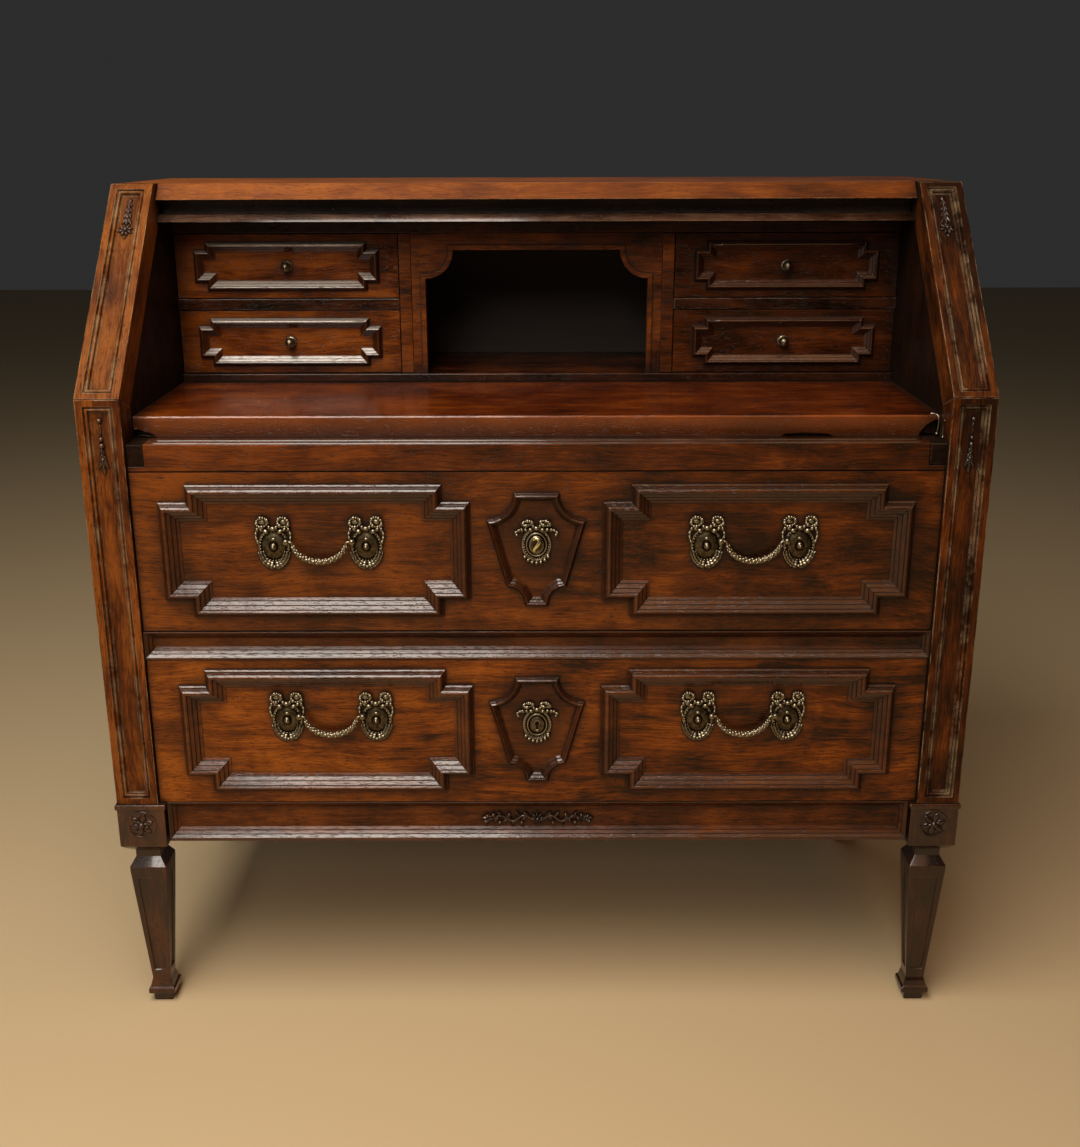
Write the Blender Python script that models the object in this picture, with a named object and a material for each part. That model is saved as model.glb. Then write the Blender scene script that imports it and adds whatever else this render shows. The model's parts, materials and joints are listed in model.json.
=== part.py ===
# Slant-front bureau: a joined case on tapered legs, with two long drawers,
# a fixed writing bed, four small drawers and a pigeonhole behind it.
# Metres, +Z up, front towards -Y, origin at the middle of the footprint.
import bpy
import bmesh
import math
from mathutils import Matrix, Vector

# Main sizes
CASE_W = 1.060        # over the front posts
CASE_D = 0.500        # corner block front to back edge
POST_W = 0.052
POST_D = 0.040
LEG_H = 0.2390        # floor to the underside of the corner block
BLOCK = 0.064         # square of the block at its top bead
BLOCK_H = 0.0597
BLOCK_BEAD = 0.002
BLOCK_PROUD = 0.003   # block in front of the post
DRAWER_SET = 0.006    # drawer face behind the post face
APRON_H = 0.0545
LOWER_H = 0.1918
DIVIDER_H = 0.0356
UPPER_H = 0.1965
BED_RAIL_H = 0.0323
BED_T = 0.0249
KNEE_RISE = 0.0288    # knee of the slope above the bed
SLOPE_RISE = 0.2312
SLOPE_RUN = 0.2185
TOP_T = 0.0197

# Clearances
SEAM = 0.0003         # between glued or resting pieces
RUN_GAP = 0.0005      # under and beside a sliding piece
DRAWER_GAP = 0.0012   # round a drawer front
TRAY_RISE = 0.004     # tray floor above the lower edge of its front
TRAY_DROP = 0.012     # tray rim below the upper edge of its front
TRAY_END = 0.010      # behind a closed tray

# Boards
CHEEK_T = 0.0215
SIDE_SET = 0.004      # side panel behind the post's outer face
SIDE_RAIL = 0.060     # border round the sunk field
SIDE_SINK = 0.007
BACK_T = 0.012
BOTTOM_T = 0.018
DUST_T = 0.016
APRON_D = 0.030
DIVIDER_D = 0.075
BED_RAIL_D = 0.056
BED_SET = 0.045       # bed front edge behind the post face
STRIP_SET = 0.020     # front edge of the top behind the slope
FRONT_T = 0.022
TRAY_T = 0.011
TRAY_FLOOR = 0.008

# Loper slides
LOPER_W = 0.0195
LOPER_L = 0.400
LOPER_LIP = 0.006
GUIDE_T = 0.018
SEAT_GROOVE = 0.0018  # groove along the ledge that the flap closed on
SEAT_IN = 0.018

# Writing interior
INT_SET = 0.2894      # divider edges behind the post face
BASE_T = 0.0107
SHELF_T = 0.0145
CEIL_DROP = 0.045     # interior ceiling below the top board
CEIL_T = 0.014
PARTITION_X = 0.166
PARTITION_T = 0.016
ARCH_T = 0.012
ARCH_STILE = 0.019
ARCH_RAIL = 0.022
ARCH_BEAD = 0.0065    # moulded edge round the opening
ARCH_PROUD = 0.0025
SPANDREL = 0.037
SMALL_SET = 0.0015
SMALL_T = 0.012
SMALL_WALL = 0.007

# Stop rail of the flap
STOP_IN = 0.221
STOP_LIP = 0.0085
STOP_STEP = 0.021
STOP_BACK = 0.022
STOP_DROP = 0.0268    # bar bottom below the underside of the top
STOP_H = 0.009

# Applied mouldings
UPPER_END = 0.0314    # outer end of a long frame from the drawer's end
LOWER_END = 0.0374
FRAME_IN = 0.0788     # its inner end from the middle of the drawer
FRAME_H = 0.163
FRAME_LIFT = 0.0025
NOTCH_X = 0.033
NOTCH_Z = 0.021
MOULD_W = 0.0235
MOULD_H = 0.0125
SMALL_FRAME_W = 0.244
SMALL_FRAME_H = 0.063
SMALL_NOTCH_X = 0.016
SMALL_NOTCH_Z = 0.0105
SMALL_MOULD_W = 0.0130
SMALL_MOULD_H = 0.0075
SHIELD_TOP = 0.027
SHIELD_HALF = 0.0595
SHIELD_LOW = 0.036
SHIELD_TIP = 0.0145
SHIELD_H = 0.1395
SHIELD_LIFT = 0.004
SHIELD_MOULD_W = 0.0105
SHIELD_MOULD_H = 0.0085
BITE = 0.001          # depth a glued piece is let into the board

# Brass
HANDLE_SPAN = 0.110
HANDLE_IN = 0.0055    # from the middle of its frame, towards the key plate
UPPER_HANDLE = 0.0071  # above the middle of its frame
LOWER_HANDLE = 0.0156
PLATE_RX = 0.0205
PLATE_RZ = 0.0240
BOSS_OUT = 0.0170
BAIL_OUT = 0.0115
BAIL_UP = 0.0070
BAIL_SAG = 0.0245
BAIL_R = 0.0033
PIN_R = 0.0013
PIN_GAP = 0.0004
LUG_R = 0.0034
LUG_IN = 0.0160
BOW_W = 0.047
BOW_H = 0.0225
BOW_T = 0.005
SPRAY_RX = 0.0215     # outer curve of the laurel spray under a rosette
SPRAY_RZ = 0.0315
SPRAY_W = 0.0095
SPRAY_T = 0.005
KEY_RX = 0.0200
KEY_RZ = 0.0250
KEY_T = 0.0050
KEY_LIFT = 0.0065
KEY_BOW_W = 0.056
KEY_BOW_H = 0.0175
KNOB_R = 0.0068
KNOB_L = 0.0185

# Turned and tapered leg
FOOT_H = 0.034
FOOT_HALF = 0.0175
PAD_IN = 0.0055        # pad under the foot, in from its flange
ANKLE_HALF = 0.0120
LEG_HALF = 0.0232
NECK_HALF = 0.0160
CAP_TOP = 0.0205      # top of the capital below the block
CAP_H = 0.0185
LEG_SINK = 0.0020

# Moulded edges of sunk panels: depth, and border from the outer edge
PANEL_STEPS = ((-0.003, 0.0088), (0.0018, 0.0090), (0.0018, 0.0102), (0.0005, 0.0114), (0.0003, 0.0126),
               (0.0013, 0.0138), (0.0042, 0.0145), (0.0050, 0.0160))
RAIL_FACETS = 3       # sloping steps round the band of a rail
RAIL_FACET_W = 0.0034
RAIL_FACET_D = 0.0028
RAIL_LEDGE = 0.0016
RAIL_LIP = 0.0015     # plain edge outside the steps
APRON_FOOT = 0.0040
DIVIDER_FOOT = 0.0022
DIVIDER_PROUD = 0.002  # in front of the drawer faces

# Levels
Z_BLOCK = LEG_H + BLOCK_H
Z_APRON1 = Z_BLOCK
Z_APRON0 = Z_APRON1 - APRON_H
Z_LOW0 = Z_APRON1 + DRAWER_GAP
Z_LOW1 = Z_LOW0 + LOWER_H
Z_DIV0 = Z_LOW1 + DRAWER_GAP
Z_DIV1 = Z_DIV0 + DIVIDER_H
Z_UP0 = Z_DIV1 + DRAWER_GAP
Z_UP1 = Z_UP0 + UPPER_H
Z_RAIL0 = Z_UP1 + DRAWER_GAP
Z_RAIL1 = Z_RAIL0 + BED_RAIL_H
Z_LIP = Z_RAIL0 + LOPER_LIP
Z_BED0 = Z_RAIL1 + SEAM
Z_BED1 = Z_BED0 + BED_T
Z_KNEE = Z_BED1 + KNEE_RISE
Z_TOP = Z_KNEE + SLOPE_RISE
Z_UNDER = Z_TOP - TOP_T
Z_BASE1 = Z_BED1 + SEAM + BASE_T
Z_CEIL = Z_UNDER - CEIL_DROP
Z_SHELF0 = (Z_BASE1 + Z_CEIL - SHELF_T) / 2
Z_SHELF1 = Z_SHELF0 + SHELF_T
Z_FLOOR1 = Z_LOW0 + TRAY_RISE - RUN_GAP
Z_DUST1 = Z_UP0 + TRAY_RISE - RUN_GAP

# Depths
OVERHANG = max(0.0, BOSS_OUT - DRAWER_SET - BLOCK_PROUD)
Y_BLOCK = OVERHANG - (CASE_D + OVERHANG) / 2
Y_POST = Y_BLOCK + BLOCK_PROUD
Y_FACE = Y_POST + DRAWER_SET
Y_BACK = Y_BLOCK + CASE_D
Y_REAR = Y_BACK - BLOCK_PROUD
Y_INNER = Y_REAR - BACK_T - 2 * SEAM
Y_INT = Y_POST + INT_SET

# Widths
X_OUT = CASE_W / 2
X_IN = X_OUT - POST_W
X_SPAN = X_IN - SEAM
X_SIDE = X_IN + CHEEK_T + SEAM
LEG_X = X_OUT + BLOCK_PROUD - BLOCK / 2
X_BETWEEN = LEG_X - BLOCK / 2 - SEAM
LEG_YS = (Y_BLOCK + BLOCK / 2, Y_BACK - BLOCK / 2)

TILT = math.atan2(SLOPE_RUN, SLOPE_RISE)

# Moulding sections in unit size: across from the outer edge, and height.
SECTION = ((0.0, 0.30), (0.06, 0.42), (0.16, 0.78), (0.27, 0.97), (0.34, 1.0), (0.42, 0.92),
           (0.45, 0.76), (0.62, 0.58), (0.66, 0.46), (0.82, 0.28), (0.86, 0.18), (1.0, 0.06))
SMALL_SECTION = ((0.0, 0.30), (0.08, 0.48), (0.20, 0.84), (0.32, 1.0), (0.42, 0.94),
                 (0.47, 0.72), (0.68, 0.50), (0.72, 0.36), (1.0, 0.06))

WALNUT = (0.20, 0.075, 0.028, 1.0)
PALE = (0.42, 0.27, 0.14, 1.0)
BRASS = (0.36, 0.26, 0.11, 1.0)

for old in list(bpy.data.objects):
    bpy.data.objects.remove(old, do_unlink=True)

part = bpy.data.collections.new("slant_front_bureau")
cutters = bpy.data.collections.new("cutters")
bpy.context.scene.collection.children.link(part)
bpy.context.scene.collection.children.link(cutters)
made = {}


def coat(obj, colour, metal=0.0):
    mat = bpy.data.materials.new(obj.name)
    mat.use_nodes = True
    shader = mat.node_tree.nodes["Principled BSDF"]
    shader.inputs["Base Color"].default_value = colour
    shader.inputs["Metallic"].default_value = metal
    shader.inputs["Roughness"].default_value = 0.4
    obj.data.materials.clear()
    obj.data.materials.append(mat)


def keep(name, mesh, colour=WALNUT, metal=0.0):
    obj = bpy.data.objects.new(name, mesh)
    part.objects.link(obj)
    coat(obj, colour, metal)
    made[name] = obj
    return obj


def tool(name, mesh):
    obj = bpy.data.objects.new(name, mesh)
    cutters.objects.link(obj)
    obj.hide_render = True
    obj.display_type = "WIRE"
    return obj


def combine(obj, other, operation):
    mod = obj.modifiers.new(other.name, "BOOLEAN")
    mod.operation = operation
    mod.solver = "EXACT"
    mod.object = other


def cut(obj, mesh, name):
    combine(obj, tool(name, mesh), "DIFFERENCE")


def weld(obj, mesh, name):
    combine(obj, tool(name, mesh), "UNION")


def finish(bm):
    bmesh.ops.remove_doubles(bm, verts=bm.verts, dist=0.00001)
    bmesh.ops.recalc_face_normals(bm, faces=bm.faces)
    mesh = bpy.data.meshes.new("body")
    bm.to_mesh(mesh)
    bm.free()
    return mesh


def box(x0, x1, y0, y1, z0, z1):
    bm = bmesh.new()
    size = Matrix.Diagonal((x1 - x0, y1 - y0, z1 - z0, 1.0))
    place = Matrix.Translation(((x0 + x1) / 2, (y0 + y1) / 2, (z0 + z1) / 2))
    bmesh.ops.create_cube(bm, size=1.0, matrix=place @ size)
    return finish(bm)


# A flat outline as a filled curve, drawn out along the third direction.
TURN = {
    "x": Matrix(((0, 0, 1, 0), (1, 0, 0, 0), (0, 1, 0, 0), (0, 0, 0, 1))),
    "y": Matrix(((1, 0, 0, 0), (0, 0, 1, 0), (0, 1, 0, 0), (0, 0, 0, 1))),
    "z": Matrix.Identity(4),
}


def prism(outline, along, start, end):
    curve = bpy.data.curves.new("outline", "CURVE")
    curve.dimensions = "2D"
    curve.fill_mode = "BOTH"
    curve.extrude = abs(end - start) / 2
    line = curve.splines.new("POLY")
    line.points.add(len(outline) - 1)
    line.use_cyclic_u = True
    for point, (u, v) in zip(line.points, outline):
        point.co = (u, v, 0.0, 1.0)
    holder = bpy.data.objects.new("outline", curve)
    bpy.context.scene.collection.objects.link(holder)
    graph = bpy.context.evaluated_depsgraph_get()
    mesh = bpy.data.meshes.new_from_object(holder.evaluated_get(graph))
    bpy.data.objects.remove(holder, do_unlink=True)
    bpy.data.curves.remove(curve)
    mesh.transform(TURN[along] @ Matrix.Translation((0, 0, (start + end) / 2)))
    bm = bmesh.new()
    bm.from_mesh(mesh)
    bmesh.ops.remove_doubles(bm, verts=bm.verts, dist=0.00001)
    bmesh.ops.dissolve_limit(bm, angle_limit=0.001, verts=bm.verts, edges=bm.edges)
    bmesh.ops.triangulate(bm, faces=[f for f in bm.faces if len(f.verts) > 4])
    return finish(bm)


# Skin over a row of matching sections, closed round or capped at its ends.
def loft_into(bm, sections, ring=False):
    rows = [[bm.verts.new(p) for p in section] for section in sections]
    count = len(rows[0])
    last = len(rows) if ring else len(rows) - 1
    for i in range(last):
        a = rows[i]
        b = rows[(i + 1) % len(rows)]
        for j in range(count):
            k = (j + 1) % count
            bm.faces.new((a[j], a[k], b[k], b[j]))
    if not ring:
        bm.faces.new(list(reversed(rows[0])))
        bm.faces.new(rows[-1])


def loft(sections, ring=False):
    bm = bmesh.new()
    loft_into(bm, sections, ring)
    return finish(bm)


def inset(path, amount):
    out = []
    count = len(path)
    for i in range(count):
        before = Vector(path[i - 1])
        here = Vector(path[i])
        after = Vector(path[(i + 1) % count])
        d0 = (here - before).normalized()
        d1 = (after - here).normalized()
        n0 = Vector((-d0.y, d0.x))
        n1 = Vector((-d1.y, d1.x))
        both = n0 + n1
        out.append(here + both * (amount / max(0.2, both.dot(n0))))
    return out


# A moulding mitred round a closed path on a face that looks towards -Y.
def moulding(path, width, height, face, section):
    steps = [(0.0, -BITE)]
    steps += [(u * width, h * height) for u, h in section]
    steps += [(width, -BITE)]
    rails = [[(p.x, face - h, p.y) for p in inset(path, u)] for u, h in steps]
    return loft([[rail[i] for rail in rails] for i in range(len(path))], ring=True)


def notched(x0, x1, z0, z1, nx, nz):
    return [
        (x0 + nx, z0), (x1 - nx, z0), (x1 - nx, z0 + nz), (x1, z0 + nz),
        (x1, z1 - nz), (x1 - nx, z1 - nz), (x1 - nx, z1), (x0 + nx, z1),
        (x0 + nx, z1 - nz), (x0, z1 - nz), (x0, z0 + nz), (x0 + nx, z0 + nz),
    ]


def shield(z_mid):
    top = z_mid + SHIELD_H / 2
    low = z_mid - SHIELD_H / 2
    r1 = SHIELD_HALF - SHIELD_TOP
    r2 = SHIELD_LOW - SHIELD_TIP
    lift = 0.003
    half = []
    for i in range(5):
        a = math.pi / 2 * i / 4
        half.append((SHIELD_TIP + r2 * (1 - math.cos(a)), low + lift + r2 * math.sin(a)))
    for i in range(7):
        a = math.pi / 2 * i / 6
        half.append((SHIELD_HALF - r1 * math.sin(a), top - r1 * math.cos(a)))
    right = [(SHIELD_TIP, low)] + half
    left = [(-x, z) for x, z in reversed(right)]
    return right + left


# Cutter for a sunk panel with a moulded edge, mitred at the corners.
# place turns (across, along, depth) into a point.
def sunk(across, along, place, steps):
    bm = bmesh.new()
    a0, a1 = across
    l0, l1 = along
    sections = []
    for depth, border in steps:
        corners = ((a0 + border, l0 + border), (a1 - border, l0 + border),
                   (a1 - border, l1 - border), (a0 + border, l1 - border))
        sections.append([place(a, b, depth) for a, b in corners])
    loft_into(bm, sections)
    return finish(bm)


def place_flat(face):
    def place(a, b, depth):
        return (a, face + depth, b)
    return place


# Sloping steps with a narrow ledge between them, round the band of a rail.
def rail_steps():
    depth = 0.0004
    border = 0.0
    steps = [(-0.003, 0.0), (depth, border)]
    for i in range(RAIL_FACETS):
        depth += RAIL_FACET_D
        border += RAIL_FACET_W
        steps.append((depth, border))
        if i < RAIL_FACETS - 1:
            depth += RAIL_LEDGE
            border += 0.0001
            steps.append((depth, border))
    return steps


def mirror_x(points):
    return [(-x, y) for x, y in reversed(points)]


def move_origin(obj, point):
    obj.data.transform(Matrix.Translation(-Vector(point)))
    obj.location = point


def ellipse(cx, cz, rx, rz, y, count=20):
    steps = [2 * math.pi * i / count for i in range(count)]
    return [(cx + rx * math.cos(a), y, cz + rz * math.sin(a)) for a in steps]


# Corner legs: foot, taper, capital, neck and block in one turned-and-cut stick.
def leg_levels():
    z_cap1 = LEG_H - CAP_TOP
    z_cap0 = z_cap1 - CAP_H
    block = BLOCK / 2 - BLOCK_BEAD
    return z_cap0, [
        (0.0, FOOT_HALF - PAD_IN),
        (FOOT_H * 0.33, FOOT_HALF - PAD_IN + 0.0005),
        (FOOT_H * 0.39, FOOT_HALF),
        (FOOT_H * 0.58, FOOT_HALF),
        (FOOT_H * 0.66, FOOT_HALF - 0.0025),
        (FOOT_H * 0.85, FOOT_HALF - 0.0040),
        (FOOT_H, ANKLE_HALF),
        (z_cap0, LEG_HALF),
        (z_cap0 + CAP_H * 0.35, LEG_HALF),
        (z_cap1, NECK_HALF),
        (LEG_H - CAP_TOP * 0.55, NECK_HALF),
        (LEG_H - CAP_TOP * 0.20, block - 0.005),
        (LEG_H, block - 0.001),
        (LEG_H + 0.001, block),
        (Z_BLOCK - 0.0080, block),
        (Z_BLOCK - 0.0070, BLOCK / 2 - 0.0004),
        (Z_BLOCK - 0.0055, BLOCK / 2),
        (Z_BLOCK - 0.0015, BLOCK / 2),
        (Z_BLOCK, BLOCK / 2 - 0.001),
    ]


def leg(name, cx, cy):
    z_cap0, levels = leg_levels()
    rows = []
    for z, h in levels:
        rows.append([(cx - h, cy - h, z), (cx + h, cy - h, z), (cx + h, cy + h, z), (cx - h, cy + h, z)])
    obj = keep(name, loft(rows))
    z0 = FOOT_H + 0.012
    z1 = z_cap0 - 0.010
    rise = z_cap0 - FOOT_H
    bm = bmesh.new()
    for quarter in range(4):
        spin = Matrix.Rotation(math.pi / 2 * quarter, 4, "Z")
        sections = []
        for depth, shrink in ((-0.003, 0.0), (LEG_SINK, 0.0012)):
            corners = []
            for z, side in ((z0, -1), (z0, 1), (z1, 1), (z1, -1)):
                h = ANKLE_HALF + (LEG_HALF - ANKLE_HALF) * (z - FOOT_H) / rise
                lift = shrink if z == z0 else -shrink
                across = side * (h * 0.66 - shrink)
                spot = spin @ Vector((across, -h + depth, z + lift))
                corners.append((spot.x + cx, spot.y + cy, spot.z))
            sections.append(corners)
        loft_into(bm, sections)
    cut(obj, finish(bm), name + "_panels")
    return obj


for side, sx in (("left", -1), ("right", 1)):
    leg("front_leg_" + side, sx * LEG_X, LEG_YS[0])
    leg("rear_leg_" + side, sx * LEG_X, LEG_YS[1])


# Posts: upright below the knee, sloping above it, mitred together.
half_tan = math.tan(TILT / 2)
along_y = math.sin(TILT)
along_z = math.cos(TILT)


def slope_back(z, extra=0.0):
    return Y_POST + (z - Z_KNEE) * math.tan(TILT) + (POST_D + extra) / math.cos(TILT)


def place_slope(a, b, depth):
    return (a, Y_POST + b * along_y + depth * along_z, Z_KNEE + b * along_z - depth * along_y)


slope_len = math.hypot(SLOPE_RUN, SLOPE_RISE)
for side, sx in (("left", -1), ("right", 1)):
    x0, x1 = sorted((sx * X_IN, sx * X_OUT))
    z0 = Z_BLOCK + SEAM
    post = keep("front_post_" + side, prism(
        [(Y_POST, z0), (Y_POST + POST_D, z0),
         (Y_POST + POST_D, Z_KNEE - POST_D * half_tan - SEAM), (Y_POST, Z_KNEE - SEAM)],
        "x", x0, x1))
    cut(post, sunk((x0, x1), (z0, Z_KNEE), place_flat(Y_POST), PANEL_STEPS), "front_panel_" + side)
    sloping = keep("slope_post_" + side, prism(
        [(Y_POST + SEAM * along_y, Z_KNEE + SEAM * along_z),
         (Y_POST + POST_D + SEAM * along_y, Z_KNEE - POST_D * half_tan + SEAM * along_z),
         (slope_back(Z_TOP), Z_TOP), (Y_POST + SLOPE_RUN, Z_TOP)], "x", x0, x1))
    cut(sloping, sunk((x0, x1), (0.0, slope_len), place_slope, PANEL_STEPS), "slope_panel_" + side)


# Sides: an outer framed panel and an inner cheek that lines the case.
y_behind = Y_POST + POST_D + SEAM
z_under = Z_UNDER - SEAM
z_mitre = Z_KNEE - (POST_D + SEAM) * half_tan
y_block_back = Y_BLOCK + BLOCK + SEAM
y_block_front = Y_BACK - BLOCK - SEAM
z_on_block = Z_BLOCK + SEAM
z_rear = z_on_block + SEAM
side_top = [(Y_REAR, z_rear), (Y_REAR, z_under), (slope_back(z_under, SEAM), z_under),
            (y_behind, z_mitre), (y_behind, z_on_block)]
side_line = [(y_block_back, Z_APRON0 + BLOCK_BEAD), (y_block_front, Z_APRON0 + BLOCK_BEAD),
             (y_block_front, z_rear)] + side_top + [(y_block_back, z_on_block)]
for side, sx in (("left", -1), ("right", 1)):
    outer = sx * (X_OUT - SIDE_SET)
    x0, x1 = sorted((sx * X_SIDE, outer))
    panel = keep("side_panel_" + side, prism(side_line, "x", x0, x1))
    rows = []
    for depth, border in ((-0.003, SIDE_RAIL), (SIDE_SINK * 0.35, SIDE_RAIL),
                          (SIDE_SINK, SIDE_RAIL + 0.012)):
        rows.append([(outer - sx * depth, p.x, p.y) for p in inset(side_top, border)])
    cut(panel, loft(rows), "side_field_" + side)
    x0, x1 = sorted((sx * X_IN, sx * (X_IN + CHEEK_T)))
    keep("inner_cheek_" + side, prism(
        [(y_behind, Z_FLOOR1 + SEAM), (Y_INNER, Z_FLOOR1 + SEAM), (Y_INNER, z_under),
         (slope_back(z_under, SEAM), z_under), (y_behind, z_mitre)], "x", x0, x1))

# Top, back and horizontal boards.
y_strip = Y_POST + SLOPE_RUN + STRIP_SET
y_strip_low = y_strip - TOP_T * math.tan(TILT)
over = 0.005
top = keep("top_board", box(-X_OUT, X_OUT, y_strip_low - over, Y_BACK, Z_UNDER, Z_TOP))
corner = [(y_strip_low - 2 * over, Z_UNDER - over), (slope_back(Z_UNDER - over, SEAM), Z_UNDER - over),
          (slope_back(Z_TOP + over, SEAM), Z_TOP + over), (y_strip_low - 2 * over, Z_TOP + over)]
for side, sx in (("left", -1), ("right", 1)):
    x0, x1 = sorted((sx * X_SPAN, sx * (X_OUT + over)))
    cut(top, prism(corner, "x", x0, x1), "top_corner_" + side)
lean = over * math.tan(TILT)
cut(top, prism([(y_strip_low - 2 * over, Z_UNDER - over), (y_strip_low - lean, Z_UNDER - over),
                (y_strip + lean, Z_TOP + over), (y_strip_low - 2 * over, Z_TOP + over)],
               "x", -X_OUT, X_OUT), "top_bevel")
keep("back_panel", box(-X_SIDE + SEAM, X_SIDE - SEAM, Y_INNER + SEAM, Y_REAR - SEAM,
                       z_on_block, z_under), PALE)
y_apron1 = Y_FACE + APRON_D
floor = keep("bottom_board", box(-X_SIDE + SEAM, X_SIDE - SEAM, y_apron1 + SEAM, Y_INNER,
                                 Z_FLOOR1 - BOTTOM_T, Z_FLOOR1), PALE)
for side, sx in (("left", -1), ("right", 1)):
    x0, x1 = sorted((sx * X_BETWEEN, sx * (X_SIDE + over)))
    z0 = Z_FLOOR1 - BOTTOM_T - over
    cut(floor, box(x0, x1, y_apron1 - over, y_block_back, z0, Z_FLOOR1 + over), "floor_front_" + side)
    cut(floor, box(x0, x1, y_block_front, Y_INNER + over, z0, Z_FLOOR1 + over), "floor_rear_" + side)
y_div1 = Y_POST + DIVIDER_D
keep("dust_board", box(-X_SPAN, X_SPAN, y_div1 + SEAM, Y_INNER, Z_DUST1 - DUST_T, Z_DUST1), PALE)

# Rails across the front.
apron = keep("apron_rail", box(-X_BETWEEN, X_BETWEEN, Y_FACE, y_apron1, Z_APRON0, Z_APRON1))
cut(apron, sunk((RAIL_LIP - X_BETWEEN, X_BETWEEN - RAIL_LIP), (Z_APRON0 + APRON_FOOT, Z_APRON1 - RAIL_LIP),
                place_flat(Y_FACE), rail_steps()), "apron_band")
y_lip = Y_FACE - DIVIDER_PROUD
divider = keep("divider_rail", box(-X_SPAN, X_SPAN, y_lip, y_div1, Z_DIV0, Z_DIV1))
cut(divider, sunk((RAIL_LIP - X_SPAN, X_SPAN - RAIL_LIP), (Z_DIV0 + DIVIDER_FOOT, Z_DIV1 - RAIL_LIP),
                  place_flat(y_lip), rail_steps()), "divider_band")
x_notch = X_IN - LOPER_W - RUN_GAP
y_rail1 = Y_FACE + BED_RAIL_D
rail = keep("bed_rail", prism(
    [(-X_SPAN, Z_RAIL0), (X_SPAN, Z_RAIL0), (X_SPAN, Z_LIP), (x_notch, Z_LIP), (x_notch, Z_RAIL1),
     (-x_notch, Z_RAIL1), (-x_notch, Z_LIP), (-X_SPAN, Z_LIP)], "y", Y_FACE, y_rail1))
cut(rail, box(-X_SPAN, X_SPAN, Y_FACE + SEAT_IN, Y_FACE + SEAT_IN + SEAT_GROOVE,
              Z_RAIL1 - SEAT_GROOVE, Z_RAIL1 + over), "seat_groove")

# Writing bed with the loper guides glued under it.
bed = keep("writing_bed", box(-X_SPAN, X_SPAN, Y_POST + BED_SET, Y_INNER, Z_BED0, Z_BED1))
guide = [(x_notch - GUIDE_T, Z_RAIL0), (X_SPAN, Z_RAIL0), (X_SPAN, Z_LIP), (x_notch, Z_LIP),
         (x_notch, Z_BED0 + BITE), (x_notch - GUIDE_T, Z_BED0 + BITE)]
weld(bed, prism(guide, "y", y_rail1 + SEAM, Y_INNER - SEAM), "guide_right")
weld(bed, prism(mirror_x(guide), "y", y_rail1 + SEAM, Y_INNER - SEAM), "guide_left")
for side, sx in (("left", -1), ("right", 1)):
    x0, x1 = sorted((sx * (X_IN - LOPER_W), sx * (X_IN - RUN_GAP)))
    obj = keep("loper_" + side, box(x0, x1, Y_FACE, Y_FACE + LOPER_L, Z_LIP + RUN_GAP, Z_RAIL1 - RUN_GAP))
    move_origin(obj, ((x0 + x1) / 2, Y_FACE, (Z_LIP + Z_RAIL1) / 2))

# Stop rail under the top, with a bevelled bar for the flap.
y_stop = Y_POST + STOP_IN
z_stop = z_under - STOP_DROP
y_stop_back = y_stop + STOP_LIP + STOP_STEP + STOP_BACK
keep("flap_stop_rail", prism(
    [(y_stop, z_stop), (y_stop_back, z_stop), (y_stop_back, z_under),
     (y_stop + STOP_LIP + STOP_STEP, z_under), (y_stop + STOP_LIP + STOP_STEP, z_stop + STOP_H),
     (y_stop + STOP_LIP, z_stop + STOP_H)], "x", -X_SPAN, X_SPAN))

# Writing interior.
keep("interior_base", box(-X_SPAN, X_SPAN, Y_INT - 0.004, Y_INNER, Z_BED1 + SEAM, Z_BASE1))
keep("interior_ceiling", box(-X_SPAN, X_SPAN, Y_INT, Y_INNER, Z_CEIL, Z_CEIL + CEIL_T))
x_part1 = PARTITION_X + PARTITION_T
for side, sx in (("left", -1), ("right", 1)):
    x0, x1 = sorted((sx * PARTITION_X, sx * x_part1))
    keep("partition_" + side, box(x0, x1, Y_INT, Y_INNER, Z_BASE1 + SEAM, Z_CEIL - SEAM))
    x0, x1 = sorted((sx * (x_part1 + SEAM), sx * X_SPAN))
    keep("drawer_shelf_" + side, box(x0, x1, Y_INT, Y_INNER, Z_SHELF0, Z_SHELF1))

# Arched frame of the pigeonhole, with rounded spandrels.
x_arch = PARTITION_X - SEAM
x_open = x_arch - ARCH_STILE
z_arch0 = Z_BASE1 + SEAM
z_arch1 = Z_CEIL - SEAM
z_open = z_arch1 - ARCH_RAIL
right = [(x_arch, z_arch0), (x_arch, z_arch1)]


# Right half of the opening's edge from the foot up, moved into the frame.
def arch_edge(amount):
    radius = SPANDREL - amount
    start = math.asin(amount / radius)
    half_edge = [(x_open + amount, z_arch0)]
    for i in range(9):
        a = -start + (math.pi / 2 + 2 * start) * i / 8
        half_edge.append((x_open - radius * math.sin(a), z_open - radius * math.cos(a)))
    return half_edge


def both_halves(half_edge):
    return half_edge + [(-x, z) for x, z in reversed(half_edge)]


arch_line = both_halves(right) + list(reversed(both_halves(arch_edge(0.0))))
arch = keep("arch_frame", prism(arch_line, "y", Y_INT, Y_INT + ARCH_T))
bead_line = both_halves(arch_edge(ARCH_BEAD)) + list(reversed(both_halves(arch_edge(BITE / 2))))
weld(arch, prism(bead_line, "y", Y_INT - ARCH_PROUD, Y_INT + BITE), "arch_bead")


# A tray of sides, back and floor, open to the drawer front.
def tray(name, x0, x1, y0, y1, z0, z1, wall, floor):
    obj = keep(name, box(x0, x1, y0, y1, z0, z1), PALE)
    cut(obj, box(x0 + wall, x1 - wall, y0 - 0.01, y1 - wall, z0 + floor, z1 + 0.01), name + "_hollow")
    return obj


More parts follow.
